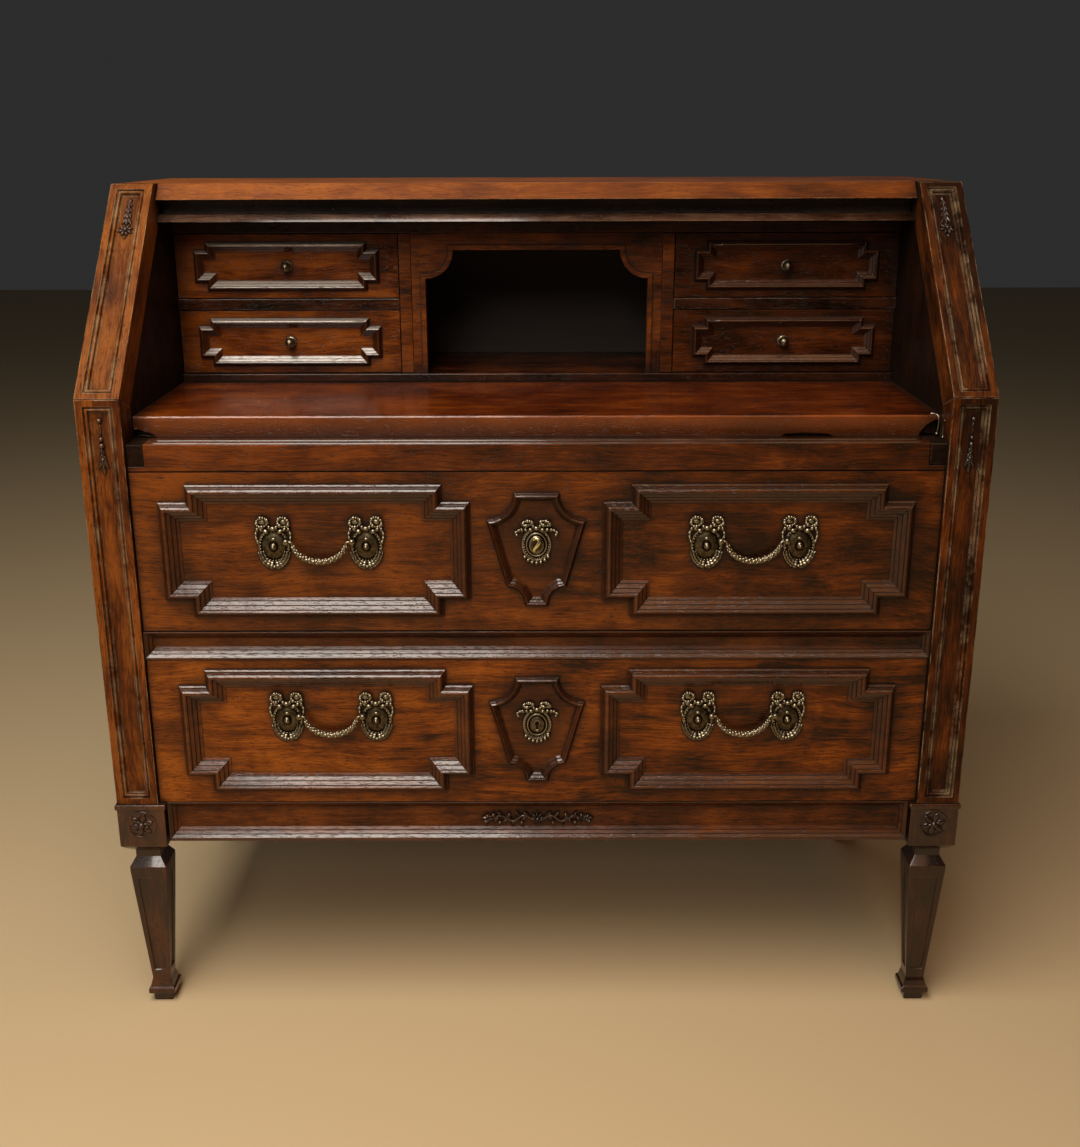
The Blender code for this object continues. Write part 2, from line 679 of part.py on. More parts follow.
# Long drawers.
half = X_IN - DRAWER_GAP
for level, z0, z1, margin in (("lower", Z_LOW0, Z_LOW1, LOWER_END), ("upper", Z_UP0, Z_UP1, UPPER_END)):
    z_mid = (z0 + z1) / 2
    z_frame = z_mid + FRAME_LIFT
    pivot = (0.0, Y_FACE, z_mid)
    front = keep(level + "_drawer_front", box(-half, half, Y_FACE, Y_FACE + FRONT_T, z0, z1))
    for side, sx in (("left", -1), ("right", 1)):
        x0, x1 = sorted((sx * FRAME_IN, sx * (half - margin)))
        path = notched(x0, x1, z_frame - FRAME_H / 2, z_frame + FRAME_H / 2, NOTCH_X, NOTCH_Z)
        weld(front, moulding(path, MOULD_W, MOULD_H, Y_FACE, SECTION), level + "_frame_" + side)
    weld(front, moulding(shield(z_mid + SHIELD_LIFT), SHIELD_MOULD_W, SHIELD_MOULD_H, Y_FACE, SMALL_SECTION),
         level + "_shield")
    move_origin(front, pivot)
    body = tray(level + "_drawer_tray", -half + RUN_GAP, half - RUN_GAP, Y_FACE + FRONT_T + SEAM,
                Y_INNER - TRAY_END, z0 + TRAY_RISE, z1 - TRAY_DROP, TRAY_T, TRAY_FLOOR)
    move_origin(body, pivot)

# Small drawers.
y_small = Y_INT + SMALL_SET
cells = (("lower", Z_BASE1, Z_SHELF0), ("upper", Z_SHELF1, Z_CEIL))
for side, sx in (("left", -1), ("right", 1)):
    for level, z0, z1 in cells:
        name = "small_" + level + "_" + side
        x0, x1 = sorted((sx * (x_part1 + DRAWER_GAP), sx * (X_IN - DRAWER_GAP)))
        low = z0 + DRAWER_GAP
        high = z1 - DRAWER_GAP
        x_mid = (x0 + x1) / 2
        z_mid = (low + high) / 2
        pivot = (x_mid, y_small, z_mid)
        front = keep(name + "_front", box(x0, x1, y_small, y_small + SMALL_T, low, high))
        path = notched(x_mid - SMALL_FRAME_W / 2, x_mid + SMALL_FRAME_W / 2,
                       z_mid - SMALL_FRAME_H / 2, z_mid + SMALL_FRAME_H / 2, SMALL_NOTCH_X, SMALL_NOTCH_Z)
        weld(front, moulding(path, SMALL_MOULD_W, SMALL_MOULD_H, y_small, SMALL_SECTION), name + "_frame")
        move_origin(front, pivot)
        body = tray(name + "_tray", x0 + RUN_GAP, x1 - RUN_GAP, y_small + SMALL_T + SEAM,
                    Y_INNER - TRAY_END, z0 + RUN_GAP, high - TRAY_DROP / 2, SMALL_WALL, SMALL_WALL)
        move_origin(body, pivot)
        rows = []
        for t, r in ((0.0, 0.80), (0.10, 0.80), (0.16, 0.45), (0.38, 0.38), (0.50, 0.72),
                     (0.64, 0.98), (0.78, 1.0), (0.91, 0.78), (1.0, 0.30)):
            rows.append(ellipse(x_mid, z_mid, KNOB_R * r, KNOB_R * r, y_small - SEAM - KNOB_L * t, 14))
        knob = keep(name + "_knob", loft(rows), BRASS, 1.0)
        move_origin(knob, pivot)


# Brass: plates with a ribbon bow and a laurel spray, swag bails and key plates.
def bow(cx, z_foot, y_face, width, h):
    w = width / 2
    line = [(0.16, -0.35), (0.16, 0.10), (0.42, -0.02), (0.80, -0.02), (1.0, 0.28), (0.94, 0.66),
            (0.66, 0.86), (0.34, 0.72), (0.20, 0.46), (0.16, 0.78), (0.0, 1.0)]
    right_side = [(cx + u * w, z_foot + v * h) for u, v in line]
    left_side = [(cx - u * w, z_foot + v * h) for u, v in reversed(line[:-1])]
    return prism(right_side + left_side, "y", y_face - BOW_T, y_face - SEAM)


# Crescent of laurel round the foot of a plate, pointed at both ends.
def spray(cx, cz, y_face):
    outer = []
    inner = []
    for i in range(13):
        t = i / 12
        a = math.radians(205 + 130 * t)
        w = SPRAY_W * math.sin(math.pi * (0.08 + 0.84 * t))
        outer.append((cx + SPRAY_RX * math.cos(a), cz + SPRAY_RZ * math.sin(a)))
        inner.append((cx + (SPRAY_RX - w) * math.cos(a), cz + (SPRAY_RZ - w) * math.sin(a)))
    return prism(outer + list(reversed(inner)), "y", y_face - SPRAY_T, y_face - SEAM)


PLATE = ((1.0, 0.0), (1.0, 0.10), (0.93, 0.24), (0.82, 0.27), (0.76, 0.17), (0.50, 0.17),
         (0.42, 0.34), (0.40, 0.62), (0.30, 0.86), (0.14, 1.0))


def plate(cx, cz, rx, rz, height, y_face, outline):
    rows = [ellipse(cx, cz, rx * r, rz * r, y_face - SEAM - (height - SEAM) * h) for r, h in outline]
    return loft(rows)


def tube(points, radii, sides=8):
    rows = []
    for i, here in enumerate(points):
        before = Vector(points[max(0, i - 1)])
        after = Vector(points[min(len(points) - 1, i + 1)])
        ahead = (after - before).normalized()
        across = Vector((0, 1, 0))
        up = ahead.cross(across)
        ring = []
        for k in range(sides):
            a = 2 * math.pi * k / sides
            ring.append(Vector(here) + (across * math.cos(a) + up * math.sin(a)) * radii[i])
        rows.append(ring)
    return loft(rows)


for level, z0, z1, margin, raised in (("lower", Z_LOW0, Z_LOW1, LOWER_END, LOWER_HANDLE),
                                   ("upper", Z_UP0, Z_UP1, UPPER_END, UPPER_HANDLE)):
    z_mid = (z0 + z1) / 2
    z_handle = z_mid + FRAME_LIFT + raised
    for side, sx in (("left", -1), ("right", 1)):
        x_handle = sx * ((half - margin + FRAME_IN) / 2 - HANDLE_IN)
        y_axis = Y_FACE - BAIL_OUT
        z_axis = z_handle + BAIL_UP
        x_lug = HANDLE_SPAN / 2 - LUG_IN
        for end, ex in (("left", -1), ("right", 1)):
            cx = x_handle + ex * HANDLE_SPAN / 2
            name = level + "_" + side + "_rosette_" + end
            rosette = keep(name, plate(cx, z_handle, PLATE_RX, PLATE_RZ, BOSS_OUT, Y_FACE, PLATE), BRASS, 1.0)
            weld(rosette, bow(cx, z_handle + PLATE_RZ * 0.62, Y_FACE, BOW_W, BOW_H), name + "_bow")
            weld(rosette, spray(cx, z_handle, Y_FACE), name + "_spray")
            lug_x = x_handle + ex * x_lug
            lug = [ellipse(lug_x, z_axis, LUG_R, LUG_R, y, 12)
                   for y in (Y_FACE - 0.001, y_axis - LUG_R)]
            weld(rosette, loft(lug), name + "_lug")
            hole = [(lug_x - ex * (LUG_R + 0.004), y_axis, z_axis), (lug_x + ex * 0.0012, y_axis, z_axis)]
            cut(rosette, tube(hole, [PIN_R + PIN_GAP] * 2, 10), name + "_hole")
            move_origin(rosette, (cx, Y_FACE, z_handle))
        reach = x_lug - LUG_R - 0.0040
        x_pin = x_lug - 0.0006
        drop = [(reach * math.cos(math.pi * i / 14), -BAIL_SAG * math.sin(math.pi * i / 14)) for i in range(1, 14)]
        line = [(x_pin, 0.0), (reach + 0.0022, 0.0), (reach + 0.0008, -0.0008), (reach, -0.0026)]
        line += drop + [(-x, z) for x, z in reversed(line)]
        radii = [PIN_R, PIN_R, PIN_R * 1.2, BAIL_R * 0.6]
        radii += [BAIL_R * (0.65 + 0.35 * math.sin(math.pi * i / 14)) for i in range(1, 14)]
        radii += list(reversed(radii[:4]))
        points = [(x_handle + x, y_axis, z_axis + z) for x, z in line]
        bail = keep(level + "_" + side + "_bail", tube(points, radii), BRASS, 1.0)
        move_origin(bail, (x_handle, y_axis, z_axis))
    z_key = z_mid + SHIELD_LIFT + KEY_LIFT
    key_line = ((1.0, 0.0), (1.0, 0.45), (0.92, 0.95), (0.80, 1.0), (0.72, 0.60), (0.44, 0.60),
                (0.38, 0.80), (0.20, 0.80))
    name = level + "_key_plate"
    key = keep(name, plate(0.0, z_key, KEY_RX, KEY_RZ, KEY_T, Y_FACE, key_line), BRASS, 1.0)
    weld(key, bow(0.0, z_key + KEY_RZ * 0.62, Y_FACE, KEY_BOW_W, KEY_BOW_H), name + "_bow")
    slot = [ellipse(0.0, z_key + 0.0022, 0.0021, 0.0021, y, 12) for y in (Y_FACE - KEY_T - 0.004, Y_FACE + 0.004)]
    cut(key, loft(slot), name + "_eye")
    cut(key, box(-0.0011, 0.0011, Y_FACE - KEY_T - 0.004, Y_FACE + 0.004, z_key - 0.0058, z_key + 0.0022),
        name + "_slot")
    move_origin(key, (0.0, Y_FACE, z_key))
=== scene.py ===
import json
import math
import bpy
import bmesh
from mathutils import Matrix, Vector


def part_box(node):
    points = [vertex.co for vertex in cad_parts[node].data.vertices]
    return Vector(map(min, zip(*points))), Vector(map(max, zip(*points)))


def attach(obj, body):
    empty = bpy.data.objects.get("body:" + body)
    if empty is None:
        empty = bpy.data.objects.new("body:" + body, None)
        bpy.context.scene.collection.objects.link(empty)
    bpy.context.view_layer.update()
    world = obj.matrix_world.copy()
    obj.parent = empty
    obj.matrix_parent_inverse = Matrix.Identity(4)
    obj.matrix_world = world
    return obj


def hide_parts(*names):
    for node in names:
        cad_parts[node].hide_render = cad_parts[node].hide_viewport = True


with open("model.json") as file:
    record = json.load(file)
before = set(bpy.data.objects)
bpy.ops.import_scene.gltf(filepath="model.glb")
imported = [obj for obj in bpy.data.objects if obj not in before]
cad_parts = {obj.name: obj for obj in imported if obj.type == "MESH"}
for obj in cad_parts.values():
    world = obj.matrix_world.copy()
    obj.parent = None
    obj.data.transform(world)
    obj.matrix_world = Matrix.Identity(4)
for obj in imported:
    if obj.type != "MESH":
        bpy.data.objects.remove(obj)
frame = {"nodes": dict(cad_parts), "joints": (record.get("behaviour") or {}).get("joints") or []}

nodes = frame["nodes"]
scene = bpy.context.scene
scene.view_settings.view_transform = "Standard"
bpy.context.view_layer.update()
sides = ("left", "right")
levels = ("lower", "upper")
smallDrawers = [(level, side, "small_%s_%s_" % (level, side)) for level in levels for side in sides]
print("frame loaded:", len(nodes), "nodes")


def toLinear(hexText):
    parts = [int(hexText[i:i + 2], 16) / 255 for i in (1, 3, 5)]
    return [c / 12.92 if c <= 0.04045 else ((c + 0.055) / 1.055) ** 2.4 for c in parts] + [1.0]


# One node with its settings, socket values and links; a ramp is a list of (place, hex).
# Gives back the node's outputs.
def addNode(tree, kind, settings=None, values=None, links=None, ramp=None):
    node = tree.nodes.new("ShaderNode" + kind)
    for name, value in (settings or {}).items():
        setattr(node, name, value)
    for name, value in (values or {}).items():
        node.inputs[name].default_value = value
    for name, socket in (links or {}).items():
        tree.links.new(socket, node.inputs[name])
    if ramp:
        steps = node.color_ramp.elements
        while len(steps) < len(ramp):
            steps.new(1.0)
        for step, (place, colour) in zip(steps, ramp):
            step.position = place
            step.color = toLinear(colour)
    return node.outputs


def newMaterial(name):
    material = bpy.data.materials.new(name)
    material.use_nodes = True
    tree = material.node_tree
    return material, tree, tree.nodes["Principled BSDF"]


# Settings and socket names that many nodes share.
times = {"operation": "MULTIPLY"}
timesPlus = {"operation": "MULTIPLY_ADD"}
larger = {"operation": "MAXIMUM"}
rangeEnds = ("From Min", "From Max", "To Min", "To Max")


# French-polished walnut: short dark streaks under a thin glossy film, black wax and dirt
# in the corners with painted shade there too, arrises rubbed pale, and a surface that is never quite flat.
# Dirt with its painted shade, and worm holes, are where they start, where they are full, and their share;
# other ranges are from, to, and what they become.
walnut = {
    "ior": 1.5,
    "coatRough": 0.12,
    "layers": {                  # length and width in mm, and detail
        "streak": (38.0, 1.6, 3.0),
        "figure": (150.0, 9.0, 2.0),
        "blotch": (90.0, 60.0, 3.0),
        "pore": (10.0, 1.0, 2.0),    # real pores are 0.3 mm wide, drawn coarser so that they show
    },
    "gains": {"streak": 1.4, "figure": 1.1, "blotch": 2.2},
    "layerRough": 0.6,
    "shift": (5.3, 2.9, 3.7),    # moves the pattern from piece to piece
    "wanderMm": (200.0, 35.0),   # length and width of the grain's slow wander
    "pits": (0.57, 0.70, 0.0, 0.85),
    "wormMm": (20.0, 1.5),       # spacing and width of worm holes, which are really 1 mm wide
    "wormRim": (0.65, 0.5, 0.9),
    "waveMm": 90.0,              # hand-planed waviness
    "rubMm": 26.0,               # size of a rubbed patch
    "rubSpread": (0.42, 0.62),
    "arrisBend": (0.985, 0.86),  # how far the rounded arris turns from the flat face
    "ledge": (0.24, 0.55),       # upward slope that gets a pale painted highlight
    "hollowMm": 30.0,
    "creaseMm": 2.8,
    "hollowDirt": (0.97, 0.60, 0.85),
    "creaseDirt": (0.94, 0.60, 1.0),
    "stepShadeSoft": 0.012,
    "haloCore": 0.55,
    "film": (0.35, 0.70, -0.05, 0.09),   # unevenness of the film, and what it does to the roughness
    "dull": {"dirtAndShade": 0.12, "crease": 0.40},
    "relief": {"holes": -0.12, "streak": 0.07, "rub": 0.22},
    "reliefMm": 1.3,
    "upright": (0.10, 0.45, 1.0, 0.25),   # polish left on faces that look sideways
    # colour of the dirt and painted shade in hollows and creases
    "dirtAndShade": "#120702",
    # dark tint that paints shade on the mouldings; it also darkens an oval round the key plate
    "stain": "#2e1305",
}


def polishedWalnut(name, look):
    material, tree, shader = newMaterial(name)
    coords = addNode(tree, "TexCoord")["Object"]
    chance = addNode(tree, "ObjectInfo")["Random"]
    shift = addNode(tree, "VectorMath", {"operation": "SCALE"}, {0: walnut["shift"]},
                    {"Scale": chance})[0]
    placed = addNode(tree, "VectorMath", {"operation": "ADD"}, None, {0: coords, 1: shift})[0]
    turned = addNode(tree, "Mapping", None, {"Rotation": look["turn"]}, {"Vector": placed})[0]
    # slow wander of the grain, then each layer of figure at its own size
    length, width = walnut["wanderMm"]
    wander = addNode(tree, "TexNoise", None, {"Scale": 1000 / length, "Detail": 2.0},
                     {"Vector": turned})["Color"]
    pulled = addNode(tree, "VectorMath", timesPlus, {1: (0.0, width / 1000, width / 1000)},
                     {0: wander, 2: turned})[0]
    layers = {}
    for layer, (length, width, detail) in walnut["layers"].items():
        grid = addNode(tree, "VectorMath", times, {1: (1000 / length, 1000 / width, 1000 / width)},
                       {0: pulled})[0]
        layers[layer] = addNode(tree, "TexNoise", None,
                                {"Scale": 1.0, "Detail": detail, "Roughness": walnut["layerRough"]},
                                {"Vector": grid})["Fac"]
    spot = addNode(tree, "SeparateXYZ", None, None, {0: coords})
    start = 0.5 - 0.5 * look["figure"] * sum(walnut["gains"].values())
    # painted light: the tone is lighter towards the left and darker towards the right
    tone = addNode(tree, "Math", timesPlus, {1: -look["paintedLightLeft"], 2: start}, {0: spot["X"]})[0]
    for layer, gain in walnut["gains"].items():
        tone = addNode(tree, "Math", timesPlus, {1: gain * look["figure"]},
                       {0: layers[layer], 2: tone})[0]
    colour = addNode(tree, "ValToRGB", None, None, {"Fac": tone},
                     [(0.0, look["dark"]), (0.5, look["mid"]), (1.0, look["light"])])[0]
    pit = addNode(tree, "MapRange", None, dict(zip(rangeEnds, walnut["pits"])), {"Value": layers["pore"]})[0]
    spacing, wide = walnut["wormMm"]
    clear, full, share = walnut["wormRim"]
    cell = addNode(tree, "TexVoronoi", None, {"Scale": 1000 / spacing}, {"Vector": placed})["Distance"]
    size = wide / spacing
    worm = addNode(tree, "MapRange", None, {"From Min": full * size, "From Max": clear * size,
                                            "To Min": share, "To Max": 0.0}, {"Value": cell})[0]
    holes = addNode(tree, "Math", larger, None, {0: pit, 1: worm})[0]
    tints = [(look["dark"], holes)]              # each hue is laid over the last through its mask
    plain = addNode(tree, "NewGeometry")["Normal"]
    # painted light and shade: what stands proud of the face gets a tint of its own, darker on the mouldings,
    # lighter on the bed's front edge
    if "proud" in look:
        facing = addNode(tree, "SeparateXYZ", None, None, {0: plain})
        low, high, share = look["proud"]
        raised = addNode(tree, "MapRange", None, {"From Min": low, "From Max": high, "To Max": share},
                         {"Value": spot["Y"]})[0]
        tints.append((look["tint"], raised))
    if "dustAndPaintedLight" in look:                           # painted highlight: a pale colour on the upward facets of the mouldings, standing in for their sheen
        hue, share = look["dustAndPaintedLight"]
        low, high = walnut["ledge"]
        ledgeSheen = addNode(tree, "MapRange", None, {"From Min": low, "From Max": high, "To Max": share},
                          {"Value": facing["Z"]})[0]
        tints.append((hue, addNode(tree, "Math", times, None, {0: ledgeSheen, 1: raised})[0]))
    # the wood round the key plate is painted darker, in an oval
    if "lock" in look:
        z, wide, high, share = look["lock"]
        flat = addNode(tree, "CombineXYZ", None, None, {0: spot["X"], 1: spot["Z"]})[0]
        near = addNode(tree, "VectorMath", {"operation": "SUBTRACT"}, {1: (0.0, z, 0.0)}, {0: flat})[0]
        scaled = addNode(tree, "VectorMath", times, {1: (1 / wide, 1 / high, 0.0)}, {0: near})[0]
        far = addNode(tree, "VectorMath", {"operation": "LENGTH"}, None, {0: scaled})["Value"]
        halo = addNode(tree, "MapRange", None, {"From Min": 1.0, "From Max": walnut["haloCore"],
                                                "To Max": share}, {"Value": far})[0]
        tints.append((walnut["stain"], halo))
    # dirt and painted shade: a soft darkening in wide hollows and black wax with painted shade in tight
    # creases, both from occlusion
    veils = []
    for reach, part in ((look["hollowMm"], "hollowDirt"), (walnut["creaseMm"], "creaseDirt")):
        clear, full, share = walnut[part]
        cover = addNode(tree, "AmbientOcclusion", {"samples": 6}, {"Distance": reach / 1000})["AO"]
        veils.append(addNode(tree, "MapRange", None, {"From Min": full, "From Max": clear,
                                                      "To Min": share * look["dirtAndShade"], "To Max": 0.0},
                             {"Value": cover})[0])
    veil, crease = veils
    if "stepShade" in look:        # painted shade: black lines where the moulding steps down, by height above the face
        face, high, bands = look["stepShade"]
        rise = addNode(tree, "MapRange", None, {"From Min": face, "From Max": face - high},
                       {"Value": spot["Y"]})[0]
        soft = walnut["stepShadeSoft"]
        lines = []
        for low, top in bands:
            lines += [(low - soft, "#000000"), (low + soft, "#ffffff"),
                      (top - soft, "#ffffff"), (top + soft, "#000000")]
        step = addNode(tree, "ValToRGB", None, None, {"Fac": rise}, lines)[0]
        crease = addNode(tree, "Math", larger, None, {0: crease, 1: step})[0]
    dirtAndShade = addNode(tree, "Math", larger, None, {0: veil, 1: crease})[0]
    # arrises rubbed pale, in patches, but not inside a crease; on some finishes the pale arris is a painted
    # highlight
    rounded = addNode(tree, "Bevel", {"samples": 3}, {"Radius": look["arrisMm"] / 1000})[0]
    bend = addNode(tree, "VectorMath", {"operation": "DOT_PRODUCT"}, None,
                   {0: rounded, 1: plain})["Value"]
    edge = addNode(tree, "MapRange", None, dict(zip(rangeEnds, walnut["arrisBend"])), {"Value": bend})[0]
    rub = addNode(tree, "TexNoise", None, {"Scale": 1000 / walnut["rubMm"], "Detail": 4.0, "Roughness": 0.7},
                  {"Vector": placed})["Fac"]
    low, high = walnut["rubSpread"]
    patches = addNode(tree, "MapRange", None, {"From Min": low, "From Max": high, "To Max": look["wearAndSheen"]},
                      {"Value": rub})[0]
    worn = addNode(tree, "Math", times, None, {0: edge, 1: patches})[0]
    bare = addNode(tree, "Math", times, None, {0: worn, 1: cover})[0]
    for hue, mask in tints + [(walnut["dirtAndShade"], dirtAndShade), (look["worn"], bare)]:
        colour = addNode(tree, "MixRGB", None, {"Color2": toLinear(hue)}, {"Fac": mask, "Color1": colour})[0]
    tree.links.new(colour, shader.inputs["Base Color"])
    # gloss: dull where the dirt and painted shade lie, uneven elsewhere
    low, high, less, more = walnut["film"]
    film = addNode(tree, "MapRange", None, {"From Min": low, "From Max": high, "To Min": look["rough"] + less,
                                            "To Max": look["rough"] + more}, {"Value": rub})[0]
    dim = addNode(tree, "Math", timesPlus, {1: walnut["dull"]["dirtAndShade"]}, {0: dirtAndShade, 2: film})[0]
    dull = addNode(tree, "Math", timesPlus, {1: walnut["dull"]["crease"]}, {0: crease, 2: dim})[0]
    tree.links.new(dull, shader.inputs["Roughness"])
    height = addNode(tree, "TexNoise", None, {"Scale": 1000 / walnut["waveMm"], "Detail": 1.0},
                     {"Vector": turned})["Fac"]
    heights = {"holes": holes, "streak": layers["streak"], "rub": rub}
    for part, gain in walnut["relief"].items():
        height = addNode(tree, "Math", timesPlus, {1: gain}, {0: heights[part], 2: height})[0]
    bump = addNode(tree, "Bump", None, {"Strength": 1.0, "Distance": walnut["reliefMm"] / 1000},
                   {"Height": height, "Normal": rounded})[0]
    tree.links.new(bump, shader.inputs["Normal"])
    shader.inputs["IOR"].default_value = walnut["ior"]
    shader.inputs["Specular IOR Level"].default_value = look["specular"]
    shader.inputs["Coat Weight"].default_value = look["coat"]
    shader.inputs["Coat Roughness"].default_value = walnut["coatRough"]
    # mouldings are polished brighter, but not in their creases, and upright members less than level ones
    if "proud" in look:
        clean = addNode(tree, "Math", timesPlus, {1: -look["polish"], 2: look["polish"]}, {0: crease})[0]
        upright = addNode(tree, "Math", {"operation": "ABSOLUTE"}, None, {0: facing["X"]})[0]
        rubbed = addNode(tree, "MapRange", None, dict(zip(rangeEnds, walnut["upright"])),
                         {"Value": upright})[0]
        glossy = addNode(tree, "Math", times, None, {0: clean, 1: rubbed})[0]
        polish = addNode(tree, "Math", timesPlus, {2: look["coat"]}, {0: raised, 1: glossy})[0]
        tree.links.new(polish, shader.inputs["Coat Weight"])
        tree.links.new(bump, shader.inputs["Coat Normal"])
    return material


alongX = (0.0, 0.0, 0.0)
alongZ = (0.0, math.pi / 2, 0.0)
slopeRun, slopeRise = 0.2185, 0.2312
slopeTilt = math.atan2(slopeRun, slopeRise)
alongSlope = (slopeTilt, math.pi / 2, 0.0)
board = {
    "turn": alongX, "dark": "#200b01", "mid": "#4d2102", "light": "#743a0a", "worn": "#7c4e28",
    "figure": 1.0, "paintedLightLeft": 0.45, "dirtAndShade": 0.95, "hollowMm": walnut["hollowMm"], "arrisMm": 1.2, "wearAndSheen": 0.45,
    "tint": walnut["stain"], "polish": 1.0, "rough": 0.20, "specular": 0.22, "coat": 0.06,
}
plateGap = 0.0003                                # the drawers' face lies this far behind the key plates
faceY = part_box("upper_key_plate")[1].y + plateGap
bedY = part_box("writing_bed")[0].y
# proud: y of the face, y where the tint is full, share; stepShade: y of the face, height, and the bands of
# the height that get painted shade
longFace = {"proud": (-0.2374, -0.2388, 0.68), "arrisMm": 0.4,
            "stepShade": (faceY, 0.0125, ((0.18, 0.27), (0.47, 0.57), (0.755, 0.835)))}
smallFace = {"proud": (0.0476, 0.0464, 0.85), "arrisMm": 1.0,
             "stepShade": (0.0478, 0.0075, ((0.38, 0.48), (0.73, 0.82)))}
# lock: height, half width and half height of the darkened wood, share
lock = {level: (sum(corner.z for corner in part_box(level + "_key_plate")) / 2, 0.052, 0.068, 0.75)
        for level in levels}
dry = {"rough": 0.55, "specular": 0.16, "coat": 0.0}
shaded = {"dark": "#0b0301", "mid": "#160802", "light": "#271004", "paintedLightLeft": 0.0}
handled = {"worn": "#b59a76", "wearAndSheen": 1.0, "arrisMm": 2.0}
looks = {
    "walnut_drawer": {**longFace, "lock": lock["upper"]},
    # painted light: the lower drawers are a lighter, more orange copy of the upper drawers' walnut
    "walnut_low_drawer": {"mid": "#602b02", "light": "#8a480c", **longFace, "lock": lock["lower"]},
    "walnut_rail": {"mid": "#451c03", "light": "#6b330a"},
    "walnut_frame": {"mid": "#512304", "light": "#763c0e", "proud": (-0.2290, -0.2345, 0.75), "arrisMm": 0.5},
    # painted light: the left small drawers are a lighter copy and the right ones a darker copy of one walnut;
    # the colour on their upward facets is a painted highlight, whitish on the left, brown on the right
    "walnut_small_left": {"mid": "#5a2704", "light": "#84440f", **smallFace, "dustAndPaintedLight": ("#b5aba0", 0.85)},
    "walnut_small_right": {"mid": "#421b03", "light": "#652f08", **smallFace, "dustAndPaintedLight": ("#6d4a3a", 0.5)},
    "walnut_stall": {"mid": "#4c2103", "light": "#733a0c", "rough": 0.3},
    # painted light: the bed's front edge is tinted a lighter orange
    "walnut_bed": {"dark": "#240a02", "mid": "#531f04", "light": "#7c3b0d", "specular": 0.4, "coat": 0.3,
                   "figure": 0.8, "paintedLightLeft": 0.2, "proud": (bedY + 0.0016, bedY + 0.0004, 0.42),
                   "tint": "#8a4208", "polish": 0.1},
    # painted highlight: the pale rubbed arris along the top board's front edge
    "walnut_top": {"dark": "#3c1b05", "mid": "#67330a", "light": "#874a12", "worn": "#b09067", "wearAndSheen": 0.9,
                   "arrisMm": 2.0, "dirtAndShade": 0.6, "figure": 0.7, **dry},
    "walnut_post": {"turn": alongZ, "mid": "#4e2305", "light": "#7a4111", **handled, **dry, "rough": 0.4},
    "walnut_slope": {"turn": alongSlope, "dark": "#200c02", "mid": "#522706", "light": "#7a4412",
                     **handled, **dry, "specular": 0.10},
    "walnut_leg": {"turn": alongZ, "dark": "#120501", "mid": "#2c1104", "light": "#4a220a",
                   "specular": 0.3, "coat": 0.6},
    "walnut_side": {"turn": alongZ, "paintedLightLeft": 0.0, "figure": 0.7},
    "walnut_inside": {"turn": alongZ, **shaded, **dry, "hollowMm": 60.0, "rough": 0.5, "specular": 0.12},
    "walnut_shelf": {**shaded, "hollowMm": 40.0, "mid": "#341505", "light": "#57290c"},
    "walnut_carved": {"turn": alongZ, "dark": "#140802", "mid": "#2e1607", "light": "#523010",
                      "hollowMm": 6.0, "wearAndSheen": 0.8, "specular": 0.5, "coat": 0.5},
    # painted highlight: greyish strips with pale arrises
    "walnut_seat": {"mid": "#3d2a1d", "light": "#5f4a3b", "worn": "#8f8276", "wearAndSheen": 0.9, "coat": 0.9},
    # painted highlight: the pale arris along the drawer shelf's edge
    "walnut_strip": {**shaded, "mid": "#2c1206", "light": "#49230b", "worn": "#9a8d80", "wearAndSheen": 0.9,
                     "arrisMm": 1.6},
    "walnut_fillet": {"dark": "#1c0c05", "mid": "#3a1d10", "light": "#5a3524", "specular": 0.5,
                      "rough": 0.16, "coat": 0.9},
    # painted highlight: a pale whitish colour that stands in for the sheen on the left fillets
    "walnut_painted_sheen": {"dark": "#6e6259", "mid": "#a79c92", "light": "#c4bab0", "worn": "#c4bab0",
                     "dirtAndShade": 0.5, "coat": 0.9},
    # painted reflection: the stop bar is painted a greyish brown with pale arrises
    "walnut_bar": {"mid": "#40291d", "light": "#664a3a", "worn": "#8f8276", "wearAndSheen": 0.8, "paintedLightLeft": 0.3,
                   "coat": 0.5},
    # end grain that was never polished, grey with handling
    "walnut_torn": {"dark": "#0c0603", "mid": "#1d1009", "light": "#2f1d10", "worn": "#85735c", "paintedLightLeft": 0.0,
                    "hollowMm": 18.0, "rough": 0.7, "specular": 0.05, "coat": 0.0},
}
finishes = {name: polishedWalnut(name, {**board, **look}) for name, look in looks.items()}
print("walnut finishes:", len(finishes))


